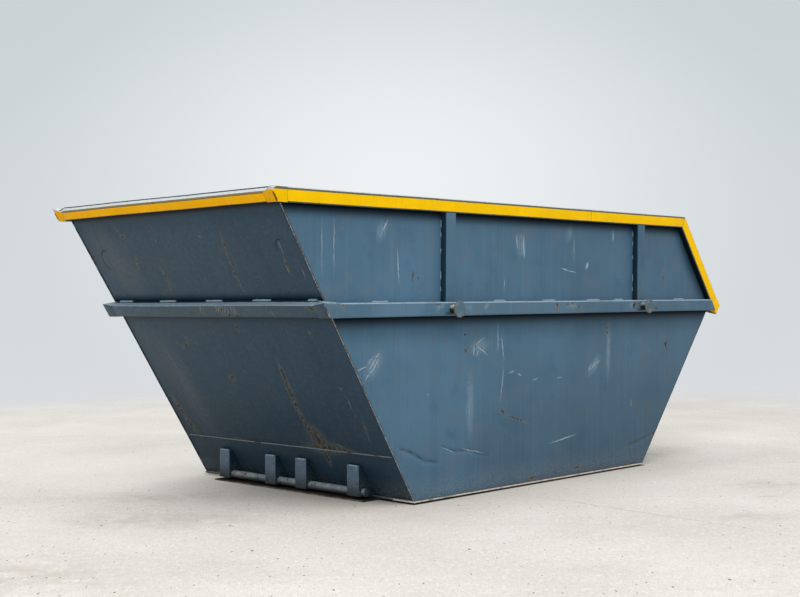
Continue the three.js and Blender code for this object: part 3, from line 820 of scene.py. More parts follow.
def pale_top_with_highlight(name, tone, dirt):
    """Upward faces, bleached and dusty, with dirt in patches, and pale as a painted highlight."""
    surface = Surface(name)
    cloud = surface.noise(7.0, 5.0, 0.65)
    grain = surface.noise(80.0, 4.0, 0.7)
    surface.colour = surface.wash(grain, 0.3, 0.7, tinted(tone, 0.85), tone)
    surface.tint(cloud, 0.50, 0.66, 0.6, dirt)
    chips = surface.band(surface.noise(33.0, 5.0, 0.7), 0.68, 0.73)
    surface.rust_chips(chips, grain, bright=RUST_BRIGHT)
    return surface.finish(surface.scaled(grain, 0.25, 0.45), height=grain)


def weld_metal(name, tone, rusty):
    surface = Surface(name)
    cloud = surface.noise(13.0, 4.0, 0.6)
    grain = surface.noise(110.0, 4.0, 0.7)
    surface.colour = surface.wash(grain, 0.35, 0.65, tinted(tone, 0.75), tone)
    surface.rust_chips(surface.band(cloud, 0.66 - rusty, 0.74 - rusty), grain, 0.35, 0.65)
    return surface.finish(surface.scaled(grain, 0.2, 0.45), height=grain, bump=0.4)


# Strips of the near side along its length, and of the front up its slope. Each has a shader of its
# own, because one can't hold all the marks
ZONE_MARGIN = 0.07
SIDE_ZONES = (-2.0, 0.20, 0.98, 1.66, 4.0)
FRONT_ZONES = (-1.0, 0.60, 1.20, 3.0)


def within(marks, axis, low, high):
    """The marks that reach into a strip of a plate."""
    chosen = []
    for mark in marks:
        reach = 2 * max(mark[2], mark[3]) + ZONE_MARGIN
        if low - reach < mark[axis] < high + reach:
            chosen.append(mark)
    return chosen


def zone_paints(where, base, zones, axis, bands, rings=(), scraped=CHALK, **marks):
    made = {}
    for number, (low, high) in enumerate(zip(zones, zones[1:])):
        here = {kind: within(rows, axis, low, high) for kind, rows in marks.items()}
        here["rings"] = [ring for ring in rings if low < ring[axis] < high]
        key = f"{where}_{number}"
        made[key] = paint(f"blue_{key}", where, base, bands=bands, scraped=scraped, **here)
    return made


MATERIALS = {
    **zone_paints(
        "side", BLUE, SIDE_ZONES, 0, SIDE_SHADE_BANDS,
        scratches=SIDE_SCRATCHES, chalk=SIDE_CHALK, rust=SIDE_RUST, creases=SIDE_SHADE_MARKS,
    ),
    **zone_paints(
        "front", BLUE_SHADED, FRONT_ZONES, 1, FRONT_SHADE_BANDS, FRONT_RINGS, (0.17, 0.18, 0.17),
        scratches=FRONT_SCRATCHES, rust=FRONT_RUST,
    ),
    "far_side": paint(
        "blue_side_far", "side",
        scratches=FAR_SCRATCHES, chalk=FAR_CHALK, rust=FAR_RUST, bands=SIDE_SHADE_BANDS,
    ),
    "rear": paint(
        "blue_rear", "rear",
        scratches=REAR_SCRATCHES, chalk=REAR_CHALK, rust=REAR_RUST, bands=REAR_SHADE_BANDS,
    ),
    "rail": paint("blue_rail", "side", BLUE_FOLD, chalk=RAIL_CHALK, rust=RAIL_RUST, creases=RAIL_LUG_SHADOWS),
    "front_rail": paint(
        "blue_front_rail", "front", BLUE_FRONT_RAIL,
        scratches=FRONT_RAIL_SCRAPES, rust=FRONT_RAIL_RUST, scraped=RUST_TAN,
    ),
    "upright": paint("blue_upright", "side", BLUE_UPRIGHT),
    # Painted shade: uprights' front and rear sides, brackets' flanks, bar's ends, inner front rail top
    "deep": paint("blue_painted_shade", "side", (0.011, 0.033, 0.054), wear=0.5),
    "bracket": paint("blue_bracket", "front", (0.118, 0.188, 0.262), rust=BRACKET_RUST, bands=FOOT_DARK_BANDS),
    "yellow": yellow_paint("yellow_rim"),
    "yellow_front": yellow_paint("yellow_front", YELLOW_FRONT),
    "ochre": yellow_paint("ochre_cap", OCHRE, 0.60, 0.6),
    "rim_line": weld_metal("rim_edge", (0.120, 0.118, 0.072), 0.04),
    "rim_brown": weld_metal("rim_brown_edge", (0.165, 0.122, 0.038), 0.06),
    "corner_edge": yellow_paint("corner_edge", (0.17, 0.075, 0.003), 0.66, 0.5),
    # Near-black for the rims' and corners' undersides: painted shade
    "under": paint("blue_underside_shade", "side", (0.003, 0.009, 0.014), wear=0.3),
    "rubbed": bare_edge("rubbed_edge", (0.36, 0.33, 0.31), 0.46, (0.14, 0.10, 0.075)),
    "edge": bare_edge("bare_edge", (0.60, 0.61, 0.60), 0.40, (0.17, 0.125, 0.085)),
    "dark_edge": bare_edge("dark_edge", (0.016, 0.032, 0.044), 0.36, (0.05, 0.045, 0.035)),
    "floor_edge": bare_edge("floor_edge", (0.66, 0.61, 0.54), 0.36),
    "dull_edge": bare_edge("dull_edge", (0.060, 0.078, 0.085), 0.38, (0.06, 0.045, 0.03)),
    # Pale tops of the rails and rims: dust and bleaching, and a painted highlight
    "dusty": pale_top_with_highlight("dusty_highlit_top", BLUE_DUST_AND_SHEEN, (0.12, 0.17, 0.21)),
    "white_top": pale_top_with_highlight("bleached_highlit_top", (0.53, 0.56, 0.57), (0.40, 0.42, 0.43)),
    "inside": worn_inside("worn_inside"),
    # Near-black rusty steel; on the tipping bar's base plate it is also a painted shadow
    "rusty": rusty_steel("rusty_plate_and_shadow", (0.030, 0.024, 0.018), BLACKENED),
    # The bar's and the lug pins' undersides are painted black as shade
    "steel": worn_steel_shaded_below("worn_bar", (0.165, 0.215, 0.255), (0.33, 0.345, 0.35), (0.064, 0.030, 0.80)),
    "plate_front": rusty_steel("dusty_plate", (0.15, 0.125, 0.10), (0.040, 0.034, 0.028)),
    "pin": worn_steel_shaded_below("worn_pin", (0.24, 0.26, 0.25), (0.52, 0.52, 0.50), (1.050, 1.026, 0.98)),
    "disc": paint("blue_disc", "side", (0.064, 0.124, 0.170), chalk=DISC_CHALK, rust=DISC_RUST),
    "lug_edge": rusty_steel("lug_edge", (0.105, 0.088, 0.062), (0.19, 0.175, 0.14)),
    "weld_blue": weld_metal("weld_painted", BLUE_DUST_AND_SHEEN, 0.0),
    "weld_seam": weld_metal("weld_seam", (0.16, 0.20, 0.225), 0.06),
    "weld_rusty": weld_metal("weld_rusty", (0.075, 0.065, 0.055), 0.16),
}


# Meshes

JOIN_DISTANCE = 0.00002
CUT_SLACK = 0.00001
FLAT_TURN = math.radians(0.6)
SHARP_TURN = math.radians(32)
EDGE_SEGMENTS = 2
SHEET_EDGE = 0.001

# Sizes of the cells into which the shapes are cut
CELL = 0.09
FLOOR_CELL = 0.08
REAR_CELL = 0.06
SIDE_CELL = 0.045
FINE_CELL = 0.03

# Long bows and short ripples of the steel, and the heights at which they start and are full
SWAY = 0.0016
RIPPLE = 0.0005
WAVE_START = 0.02
WAVE_RISE = 0.12


def cad_shape(node):
    """A CAD node's shape, with its split corners joined and its flat faces whole."""
    shape = bmesh.new()
    shape.from_mesh(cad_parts[node].data)
    bmesh.ops.remove_doubles(shape, verts=shape.verts, dist=JOIN_DISTANCE)
    bmesh.ops.dissolve_limit(shape, angle_limit=FLAT_TURN, verts=shape.verts, edges=shape.edges)
    return shape


def round_edges(shape, size):
    """Rounds the outward edges, apart from the shallow ones of a bend."""
    edges = [
        edge for edge in shape.edges
        if len(edge.link_faces) == 2 and edge.is_convex and edge.calc_face_angle(0) > SHARP_TURN
    ]
    bmesh.ops.bevel(
        shape, geom=edges, offset=size, segments=EDGE_SEGMENTS, profile=0.5, affect="EDGES",
        clamp_overlap=True,
    )


def cut_along(shape, point, normal, slack=0.0, parts=None):
    """Cuts a shape, or some of its parts, along a plane."""
    if parts is None:
        parts = shape.verts[:] + shape.edges[:] + shape.faces[:]
    bmesh.ops.bisect_plane(shape, geom=parts, dist=slack, plane_co=point, plane_no=normal)


def parts_between(shape, low, high):
    """The faces between two heights, with their points and edges, always in the same order."""
    faces = [face for face in shape.faces if low < face.calc_center_median().z < high]
    verts = dict.fromkeys(vert for face in faces for vert in face.verts)
    edges = dict.fromkeys(edge for face in faces for edge in face.edges)
    return [*verts, *edges, *faces]


def cut_across(shape, axis, places, heights=None):
    """Cuts a shape at places along an axis, or only its faces between two heights."""
    for place in places:
        point = Vector((0, 0, 0))
        point[axis] = place
        normal = Vector((0, 0, 0))
        normal[axis] = 1
        parts = parts_between(shape, *heights) if heights else None
        cut_along(shape, point, normal, CUT_SLACK, parts)


def steps(low, high, step):
    """Places between two ends, a step apart."""
    count = int((high - low) / step)
    return [low + (high - low) * (index + 1) / (count + 1) for index in range(count)]


def grid_cuts(shape, cell):
    """Cuts a shape into cells along each axis in which it is longer than a few cells."""
    for axis in range(3):
        values = [vert.co[axis] for vert in shape.verts]
        low, high = min(values), max(values)
        if high - low > 3 * cell:
            cut_across(shape, axis, steps(low, high, cell))


# Where the near side's creases lie, in heights over the floor and in stretches along it, the
# band in which it is cut along its length, and the cells' size
CREASE_HEIGHTS = (0.10, 0.30)
CREASE_STRETCHES = ((-0.13, 0.63), (1.90, 2.32))
CREASE_BAND = (0.09, 0.32)
CREASE_CELL_UP = 0.004
CREASE_CELL_ALONG = 0.009


def crease_cells(shape):
    """Small cells where the creases lie."""
    low, high = (FLOOR_TOP + height for height in CREASE_HEIGHTS)
    cut_across(shape, 2, steps(low, high, CREASE_CELL_UP))
    along = []
    for start, end in CREASE_STRETCHES:
        along += steps(HULL_START + start, HULL_START + end, CREASE_CELL_ALONG)
    cut_across(shape, 0, along, [FLOOR_TOP + height for height in CREASE_BAND])


def warp(point):
    """How far the steel stands from true: long bows and short ripples, none at the ground."""
    settled = min(1.0, max(0.0, (point.z - WAVE_START) / WAVE_RISE))
    slow = noise.noise_vector(point * 1.6) * SWAY
    quick = noise.noise_vector(point * 6.5) * RIPPLE
    return (slow + quick) * settled


class Dent:
    """A crease pressed into a plate along a line of points, in the plate's own axes."""

    def __init__(self, points, half_width, depth):
        self.points = [Vector(point) for point in points]
        self.half_width = half_width
        self.depth = depth

    def at(self, place):
        best = math.inf
        span = 0.0
        count = len(self.points) - 1
        for index, (start, end) in enumerate(zip(self.points, self.points[1:])):
            line = end - start
            share = min(1.0, max(0.0, (place - start).dot(line) / line.length_squared))
            distance = (place - start - line * share).length
            if distance < best:
                best = distance
                span = (index + share) / count
        fade = math.sin(math.pi * min(1.0, max(0.0, span))) ** 0.5
        return -self.depth * fade * math.exp(-((best / self.half_width) ** 2))


SIDE_DENTS = [
    Dent([(-0.118, 0.281), (-0.06, 0.268), (0.005, 0.243), (0.082, 0.201), (0.195, 0.184)], 0.012, 0.009),
    Dent(
        [(0.200, 0.280), (0.26, 0.246), (0.335, 0.233), (0.445, 0.229), (0.52, 0.200), (0.61, 0.189)],
        0.011, 0.007,
    ),
    Dent([(1.93, 0.115), (2.03, 0.128), (2.107, 0.142), (2.29, 0.184)], 0.012, 0.007),
    Dent([(0.66, 0.60), (0.72, 0.42), (0.76, 0.37)], 0.05, 0.0025),
    Dent([(1.60, 0.72), (1.70, 0.60)], 0.10, 0.0030),
    Dent([(1.2, 0.40), (1.5, 0.36)], 0.12, 0.0030),
    Dent([(0.40, 0.80), (0.62, 0.72)], 0.035, 0.0020),
]
FAR_DENTS = SIDE_DENTS[3:6]
FRONT_DENTS = [
    Dent([(-0.32, 0.82), (-0.30, 0.64), (-0.305, 0.40)], 0.012, 0.0030),
    Dent([(-0.35, 1.63), (-0.325, 1.40), (-0.33, 1.28)], 0.012, 0.0025),
    Dent([(0.29, 1.44), (0.30, 1.30)], 0.012, 0.0025),
    Dent([(0.70, 1.00), (0.66, 0.45)], 0.10, 0.0050),
    Dent([(-0.30, 0.42), (-0.38, 0.30)], 0.05, 0.0040),
]


def press_dents(shape, matrix, dents):
    """Moves the points of a plate, both faces alike, out of its plane."""
    back = matrix.inverted()
    out = outward(matrix)
    for vert in shape.verts:
        place = (back @ vert.co).xy
        vert.co += out * sum(dent.at(place) for dent in dents)


def to_piece(name, shape, materials, nodes=()):
    """Turns a shape into a piece that rides on the skip."""
    mesh = bpy.data.meshes.new(name)
    bmesh.ops.recalc_face_normals(shape, faces=shape.faces)
    for face in shape.faces:
        face.smooth = True
    shape.to_mesh(mesh)
    shape.free()
    mesh.set_sharp_from_angle(angle=SHARP_TURN)
    for key in materials:
        mesh.materials.append(MATERIALS[key])
    piece = bpy.data.objects.new(name, mesh)
    bpy.context.scene.collection.objects.link(piece)
    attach(piece, "root")
    if nodes:
        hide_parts(*nodes)
    return piece


def worn_piece(
    node, materials, choose, cell=CELL, edge=SHEET_EDGE, dents=(), matrix=None, creased=False,
    lines=(), cuts=(),
):
    """A CAD node made again with rounded edges, in the bowed and dented state of a used skip."""
    shape = cad_shape(node)
    round_edges(shape, edge)
    grid_cuts(shape, cell)
    for axis, place in lines:
        cut_across(shape, axis, [place])
    if creased:
        crease_cells(shape)
    for place, normal in cuts:
        cut_along(shape, place, normal)
    for face in shape.faces:
        face.material_index = choose(face.normal, face.calc_center_median())
    if dents:
        press_dents(shape, matrix, dents)
    for vert in shape.verts:
        vert.co += warp(vert.co)
    return to_piece(f"worn_{node}", shape, materials, [node])


# Choosers of a face's material, by where it looks and where its middle is. A face looks in a
# direction when the cosine between them is over one of these limits, or lies along it when the
# cosine is under the last either way

FLAT_ON = 0.97
FACING = 0.9
MOSTLY = 0.8
ROUGHLY = 0.7
RIM_UP = 0.55
RAIL_UP = 0.25
ALONG = 0.4


def one_material(*_):
    return 0


def sideways(limit):
    """1 for the faces that look to the left or the right."""
    return lambda normal, _: int(abs(normal.y) > limit)


def plate_faces(matrix, zones=(), axis=0):
    """Outer face by its zone, then edges, then inner face."""
    out = outward(matrix)
    back = matrix.inverted()
    outer = max(1, len(zones) - 1)

    def choose(normal, centre):
        turn = normal.dot(out)
        if turn > FACING:
            place = (back @ centre)[axis]
            return sum(1 for bound in zones[1:-1] if place > bound)
        return outer + 1 if turn < -FACING else outer

    return choose


# The floor's front edge is dull from here to the far side
DULL_EDGE_START = -0.76


def floor_faces(normal, centre):
    """Edges 0, the floor inside the hull 1, underside 2, and the dull part of the front edge 3."""
    if normal.x < -ROUGHLY and centre.y > DULL_EDGE_START:
        return 3
    covered = abs(centre.y) < HALF_WIDTH - PLATE and HULL_START < centre.x < HULL_START + FLOOR_LENGTH
    if normal.z > FACING and covered:
        return 1
    return 0 if normal.z > -FACING else 2


def rim_faces(matrix, low=0.0, high=3.0):
    """Web between two heights of a plate 0, bends 1, flange that looks up 2, the other flange 3."""
    back = matrix.inverted()
    out = outward(matrix)

    def choose(normal, centre):
        turn = normal.dot(out)
        if normal.z > RIM_UP:
            return 2
        if abs(turn) < ALONG:
            return 3
        return 0 if turn > FLAT_ON and low < (back @ centre).y < high else 1

    return choose


def on_upright_edge(normal):
    """Whether a face belongs to the rounded edge between a side and an end."""
    return abs(normal.y) > 0.25 and abs(normal.x) > 0.2 and abs(normal.z) < ROUGHLY


def corner_faces(matrix):
    """Face along the side 0, inner faces 1, the end's face 2, top 3, rounded edge 4, underside 5."""
    out = outward(matrix)
    front_out = outward(FRONT)
    rear_out = outward(REAR)

    def choose(normal, _):
        if on_upright_edge(normal):
            return 4
        if normal.z > RIM_UP:
            return 3
        if normal.dot(out) > FLAT_ON:
            return 0
        if max(normal.dot(front_out), normal.dot(rear_out)) > FLAT_ON:
            return 2
        return 5 if normal.z < -ROUGHLY else 1

    return choose


def rim_corner_faces(matrix, line):
    """As corner_faces, with the rise of the top and the dark line of the side rim."""
    plain = corner_faces(matrix)

    def choose(normal, centre):
        kind = plain(normal, centre)
        if kind == 1 or kind in (0, 2, 4) and (centre - CORNER_TOP).dot(CORNER_RISE) > 0:
            return 3
        return 1 if kind == 0 and centre.z > line else kind

    return choose


def rail_corner_faces(matrix):
    """Front part 0, side part 1, top 2, the rubbed edge between front and side 3."""
    out = outward(matrix)

    def choose(normal, _):
        if on_upright_edge(normal) and normal.x < 0:
            return 3
        if normal.z > RAIL_UP:
            return 2
        return 1 if normal.dot(out) > MOSTLY else 0

    return choose


def rail_faces(normal, _):
    """The face that looks up is dusty."""
    return 1 if normal.z > RAIL_UP else 0


def upright_faces(normal, _):
    """The sides that look to the front and the rear get dark paint, as painted shade."""
    return 1 if abs(normal.x) > MOSTLY else 0


def disc_faces(normal, _):
    return 0 if abs(normal.y) > 0.98 else 1


def base_plate_faces(normal, centre):
    """The front edge and the strip behind it are scraped and dusty."""
    return int(normal.x < -0.5 or centre.x < BASE_PLATE_STRIP)


# The hull's plates


def build_side_plates():
    for name, matrix in SIDES.items():
        near = name == "right"
        outer = [f"side_{number}" for number in range(4)] if near else ["far_side"]
        worn_piece(
            f"{name}_side_plate", [*outer, "edge", "inside"],
            plate_faces(matrix, SIDE_ZONES if near else ()), SIDE_CELL,
            dents=SIDE_DENTS if near else FAR_DENTS, matrix=matrix, creased=near,
        )


def build_end_plates():
    mirrored = FRONT @ Matrix.Scale(-1, 4, Vector((1, 0, 0)))
    materials = ["front_0", "front_1", "front_2", "dark_edge", "inside"]
    choose = plate_faces(FRONT, FRONT_ZONES, 1)
    for node in ("front_plate_lower", "front_plate_upper"):
        worn_piece(node, materials, choose, FINE_CELL, dents=FRONT_DENTS, matrix=mirrored)
    worn_piece("rear_plate", ["rear", "edge", "inside"], plate_faces(REAR), REAR_CELL)


def build_floor_plate():
    materials = ["floor_edge", "inside", "rusty", "dull_edge"]
    worn_piece("floor_plate", materials, floor_faces, FLOOR_CELL)


# Rims, rails and uprights

# How far the dark line at the top of the side rim, the brown strip of the front rim's top and
# the pale strip of the front rail, dusty and painted as highlight, reach
RIM_LINE = 0.0185
RIM_STRIP = 0.011
RAIL_STRIP = 0.027
CORNER_EDGE = 0.003
RIM_CORNER_EDGE = 0.0012

# The front rim's top runs into the corner and rises across it to the side rim's top
CORNER_TOP = Vector((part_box("front_top_rim")[0].x - 0.003, 0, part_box("front_top_rim")[1].z - 0.014))
CORNER_RISE = Vector((-0.544, 0, 0.839))

# The rims' upward flanges are pale, partly painted highlight; the other flanges near-black, painted shade
RIM_MATERIALS = ["yellow", "rim_line", "white_top", "under"]
RIM_CORNER_MATERIALS = ["yellow", "rim_line", "ochre", "white_top", "lug_edge", "under"]


def build_side_folds(name, matrix):
    rim = rim_faces(matrix, WALL_HEIGHT + RIM_LOW, WALL_HEIGHT - RIM_LINE)
    line = FLOOR_TOP + (WALL_HEIGHT - RIM_LINE) * math.cos(LEAN)
    for part in ("top_rim_front", "top_rim_rear"):
        worn_piece(f"{name}_{part}", RIM_MATERIALS, rim, lines=[(2, line)])
    worn_piece(f"{name}_slope_rim", RIM_MATERIALS, rim_faces(matrix))
    worn_piece(
        f"{name}_rim_corner", RIM_CORNER_MATERIALS, rim_corner_faces(matrix, line),
        edge=RIM_CORNER_EDGE, cuts=[(CORNER_TOP, CORNER_RISE), (Vector((0, 0, line)), Vector((0, 0, 1)))],
    )
    choose = corner_faces(matrix)
    worn_piece(f"{name}_lip_corner", RIM_CORNER_MATERIALS, choose, edge=CORNER_EDGE)
    worn_piece(f"{name}_side_rail", ["rail", "dusty"], rail_faces)
    materials = ["front_rail", "rail", "dusty", "edge"]
    worn_piece(f"{name}_rail_corner", materials, rail_corner_faces(matrix), edge=CORNER_EDGE)
    for part in ("upright_front", "upright_rear"):
        worn_piece(f"{name}_{part}", ["upright", "deep"], upright_faces)


def build_end_rims():
    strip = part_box("front_top_rim")[0].x + RIM_STRIP
    flange = rim_faces(FRONT)

    def front_rim(normal, centre):
        kind = flange(normal, centre)
        return 1 if kind == 2 and centre.x < strip else kind

    materials = ["yellow_front", "rim_brown", "white_top", "under"]
    worn_piece("front_top_rim", materials, front_rim, lines=[(0, strip)])
    worn_piece("rear_lip_rim", RIM_MATERIALS, rim_faces(REAR))


def build_front_rail():
    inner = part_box("front_rail")[0].x + RAIL_STRIP

    # The top's outer strip is dusty; the rest, in the corner against the plate, gets dark paint as painted
    # shade
    def front_rail(normal, centre):
        if normal.z > RAIL_UP:
            return 2 if centre.x > inner else 1
        return 0

    worn_piece("front_rail", ["front_rail", "dusty", "deep"], front_rail, lines=[(0, inner)])


# Lugs, tipping bar and runners

DISC_EDGE = 0.0045
BASE_PLATE_STRIP = -1.115


def build_lugs():
    for name in SIDES:
        for end in ("front", "rear"):
            worn_piece(f"{name}_lug_pin_{end}", ["pin"], one_material)
            materials = ["disc", "lug_edge"]
            worn_piece(f"{name}_lug_disc_{end}", materials, disc_faces, edge=DISC_EDGE)


def build_tipping_bar():
    # The brackets' flanks and the bar's ends get dark paint as painted shade; the base plate's black is
    # partly shadow
    for number in range(1, 5):
        node = f"tipping_bar_bracket_{number}"
        worn_piece(node, ["bracket", "deep"], sideways(MOSTLY), FINE_CELL)
    worn_piece("tipping_bar", ["steel", "deep"], sideways(ROUGHLY), FINE_CELL)
    worn_piece("tipping_bar_base_plate", ["rusty", "plate_front"], base_plate_faces)


def build_runners():
    for place in ("left", "centre", "right"):
        worn_piece(f"skid_runner_{place}", ["rusty"], one_material)


# The small plates that close the rim corners on top: how far they start and reach sideways, and
# their outer and inner edges, from the front rim's front and top
CAP_START = -0.001
CAP_REACH = 0.056
CAP_SHEET = 0.003
CAP_OUTER = (0.004, -0.0215)
CAP_INNER = (0.0405, 0.0005)


def build_corner_caps():
    """Plates between the front rim's top and the corner's, that carry its slope on."""
    low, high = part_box("front_top_rim")
    outer = Vector((low.x + CAP_OUTER[0], 0, high.z + CAP_OUTER[1]))
    inner = Vector((low.x + CAP_INNER[0], 0, high.z + CAP_INNER[1]))
    under = Vector((inner.z - outer.z, 0, outer.x - inner.x)).normalized() * CAP_SHEET
    shape = bmesh.new()
    for side in (-1, 1):
        rows = []
        for reach in (CAP_START, 0.5 * CAP_REACH, CAP_REACH):
            across = Vector((0, side * (high.y + reach), 0))
            ends = (outer, inner, inner + under, outer + under)
            rows.append([shape.verts.new(place + across) for place in ends])
        for first, second in zip(rows, rows[1:]):
            for index in range(4):
                turn = (index + 1) % 4
                shape.faces.new((first[index], first[turn], second[turn], second[index]))
        shape.faces.new(rows[0])
        shape.faces.new(rows[-1])
    to_piece("rim_corner_caps", shape, ["white_top"])


def corner_line(node, first, second):
    """The ends of the edge where two faces of a CAD node meet."""
    shape = cad_shape(node)
    places = []
    for edge in shape.edges:
        if len(edge.link_faces) == 2:
            one, other = (face.normal for face in edge.link_faces)
            if max(min(one.dot(first), other.dot(second)), min(other.dot(first), one.dot(second))) > 0.95:
                places += [vert.co.copy() for vert in edge.verts]
    shape.free()
    places.sort(key=lambda place: place.z)
    return [places[0], places[-1]]


# Welds

# A bead's facets and steps, how thin it starts and how fast it grows, how thin it gets and how much
# that varies, and how far it strays, in shares of its radius
BEAD_SIDES = 8
BEAD_STEP = 0.006
BEAD_START = 0.35
BEAD_GROWTH = 0.4
BEAD_THIN = 0.88
BEAD_VARIES = 0.24
BEAD_STRAYS = 0.35


def bead_line(points):
    """Places a step apart along a line of points, each with its direction."""
    places = []
    for index, (start, end) in enumerate(zip(points, points[1:])):
        count = max(2, int((end - start).length / BEAD_STEP))
        last = index == len(points) - 2
        for step in range(count + (1 if last else 0)):
            places.append((start.lerp(end, step / count), (end - start).normalized()))
    return places


def bead(shape, points, radius, seed):
    """A weld bead along a line, with the ripples of its run."""
    draw = random.Random(seed)
    line = bead_line(points)
    previous = None
    for number, (centre, along) in enumerate(line):
        across = along.cross(Vector((0, 0, 1)))
        if across.length < 0.1:
            across = along.cross(Vector((1, 0, 0)))
        across.normalize()
        upwards = across.cross(along).normalized()
        steps_left = len(line) - 1 - number
        taper = min(1.0, BEAD_START + number * BEAD_GROWTH, BEAD_START + steps_left * BEAD_GROWTH)
        size = radius * taper * (BEAD_THIN + BEAD_VARIES * draw.random())
        shift = across * (draw.random() - 0.5) * radius * BEAD_STRAYS
        ring = []
        for side in range(BEAD_SIDES):
            turn = 2 * math.pi * side / BEAD_SIDES
            place = centre + shift + (across * math.cos(turn) + upwards * math.sin(turn)) * size
            ring.append(shape.verts.new(place + warp(place)))
        if previous is None:
            shape.faces.new(ring[::-1])
        else:
            for side in range(BEAD_SIDES):
                after = (side + 1) % BEAD_SIDES
                shape.faces.new((previous[side], previous[after], ring[after], ring[side]))
        previous = ring
    shape.faces.new(previous)


# Welds on top of the side rail, along it, and of the front rail, across it, and up the uprights
UPRIGHT_STITCHES = [(0.055, 0.085), (0.115, 0.165), (0.260, 0.285), (0.345, 0.375), (0.400, 0.440)]
RAIL_STITCHES = [
    (-0.325, -0.202), (0.634, 0.739), (1.078, 1.202), (1.512, 1.647), (1.800, 1.900), (2.484, 2.607),
]
FRONT_RAIL_STITCHES = [(0.863, 0.730), (0.464, 0.303), (0.032, -0.116), (-0.365, -0.517), (-0.798, -0.875)]

# The beads' radii
SEAM_BEAD = 0.0035
HULL_BEAD = 0.0045
FLOOR_BEAD = 0.003
UPRIGHT_BEAD = 0.0028
RAIL_BEAD = 0.0055
FRONT_RAIL_BEAD = 0.009
BRACKET_BEAD = 0.0042
RAIL_CORNER_BEAD = 0.0034
RUBBED_BEAD = 0.0032
WORN_BEAD = 0.0048

# Where the beads at the hull's corners start and how far from the top of the front and up the rear
# they end, how far a stitch lies from an edge, where a bracket's bead ends, how deep a rubbed
# corner's bead lies in it, and how much of the rim corner's edge is worn
HULL_BEAD_START = 0.01
FRONT_BEAD_END = 0.09
REAR_BEAD_END = 1.22
SEAM_INSET = 0.02
FLOOR_BEAD_LIFT = 0.001
STITCH_INSET = 0.003
BRACKET_INSET = 0.004
RAIL_CORNER_STITCH = (-0.690, -0.580)
RUBBED_INSET = 0.0022
WORN_SHARE = 0.66


def on(matrix, along, up, out=0.0):
    return matrix @ Vector((along, up, out))


def weld_plates(rusty, dark, seam):
    """Beads along the front's seam, down the hull's corners and along the floor."""
    seam_up = FRONT_SEAM_HEIGHT / math.cos(FRONT_SLOPE)
    seam_half = HALF_WIDTH + FRONT_SEAM_HEIGHT * math.tan(LEAN) - PLATE
    ends = [on(FRONT, way * (seam_half - SEAM_INSET), seam_up, -EDGE_STAND) for way in (-1, 1)]
    bead(seam, ends, SEAM_BEAD, 1)
    top = WALL_RISE / math.cos(FRONT_SLOPE)
    for number, way in enumerate((1, -1)):
        low = on(FRONT, way * (HALF_WIDTH - PLATE), HULL_BEAD_START, -EDGE_STAND)
        high = on(FRONT, way * (HALF_WIDTH + SIDE_LEAN - PLATE), top - FRONT_BEAD_END, -EDGE_STAND)
        bead(rusty if way > 0 else dark, [low, high], HULL_BEAD, 10 + number)
        foot = on(REAR, way * (HALF_WIDTH - PLATE), HULL_BEAD_START, -EDGE_STAND)
        lip_across = HALF_WIDTH + LIP_HEIGHT * math.tan(LEAN) - PLATE
        lip = on(REAR, way * lip_across, REAR_BEAD_END, -EDGE_STAND)
        bead(rusty, [foot, lip], HULL_BEAD, 20 + number)
    for number, matrix in enumerate(SIDES.values()):
        ends = [on(matrix, place, FLOOR_BEAD_LIFT) for place in (0.0, FLOOR_LENGTH)]
        bead(rusty, ends, FLOOR_BEAD, 30 + number)


def stitch_folds(painted):
    """Short welds up the uprights, on top of the rails and on the brackets."""
    for number, matrix in enumerate(SIDES.values()):
        for place in UPRIGHT_PLACES:
            for way in (-1, 1):
                along = place + way * UPRIGHT_WIDTH / 2
                for dash, heights in enumerate(UPRIGHT_STITCHES):
                    ends = [on(matrix, along, RAIL_TOP + height) for height in heights]
                    bead(painted, ends, UPRIGHT_BEAD, 40 + dash + 10 * number)
        for stitch, places in enumerate(RAIL_STITCHES):
            ends = [on(matrix, place, RAIL_TOP + STITCH_INSET, STITCH_INSET) for place in places]
            bead(painted, ends, RAIL_BEAD, 60 + stitch)
    for number, places in enumerate(FRONT_RAIL_STITCHES):
        ends = [on(FRONT, -place, FRONT_RAIL_TOP, -EDGE_STAND + STITCH_INSET) for place in places]
        bead(painted, ends, FRONT_RAIL_BEAD, 80 + number)
    for index in range(4):
        low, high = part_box(f"tipping_bar_bracket_{index + 1}")
        places = (low.y + BRACKET_INSET, high.y - BRACKET_INSET)
        ends = [Vector((low.x + STITCH_INSET, place, high.z - STITCH_INSET)) for place in places]
        bead(painted, ends, BRACKET_BEAD, 110 + index)


def rub_corners(painted, rubbed, brown):
    """Beads on the corners that the chains and other skips have rubbed."""
    out = outward(FRONT)
    for number, (name, matrix) in enumerate(SIDES.items()):
        side_out = outward(matrix).normalized()
        inset = (out + side_out) * RUBBED_INSET
        low, high = (place - inset for place in corner_line(f"{name}_rail_corner", out, side_out))
        bead(rubbed, [low, high], RUBBED_BEAD, 90 + number)
        # A pale bead along the rail corner's top carries on the rail's pale top line: dust and painted
        # highlight
        stand = RAIL_DEPTH - STITCH_INSET
        ends = [on(matrix, place, RAIL_TOP - STITCH_INSET, stand) for place in RAIL_CORNER_STITCH]
        bead(painted, ends, RAIL_CORNER_BEAD, 98 + number)
        low, high = (place - inset for place in corner_line(f"{name}_rim_corner", out, side_out))
        bead(brown, [low, low.lerp(high, WORN_SHARE)], WORN_BEAD, 94 + number)


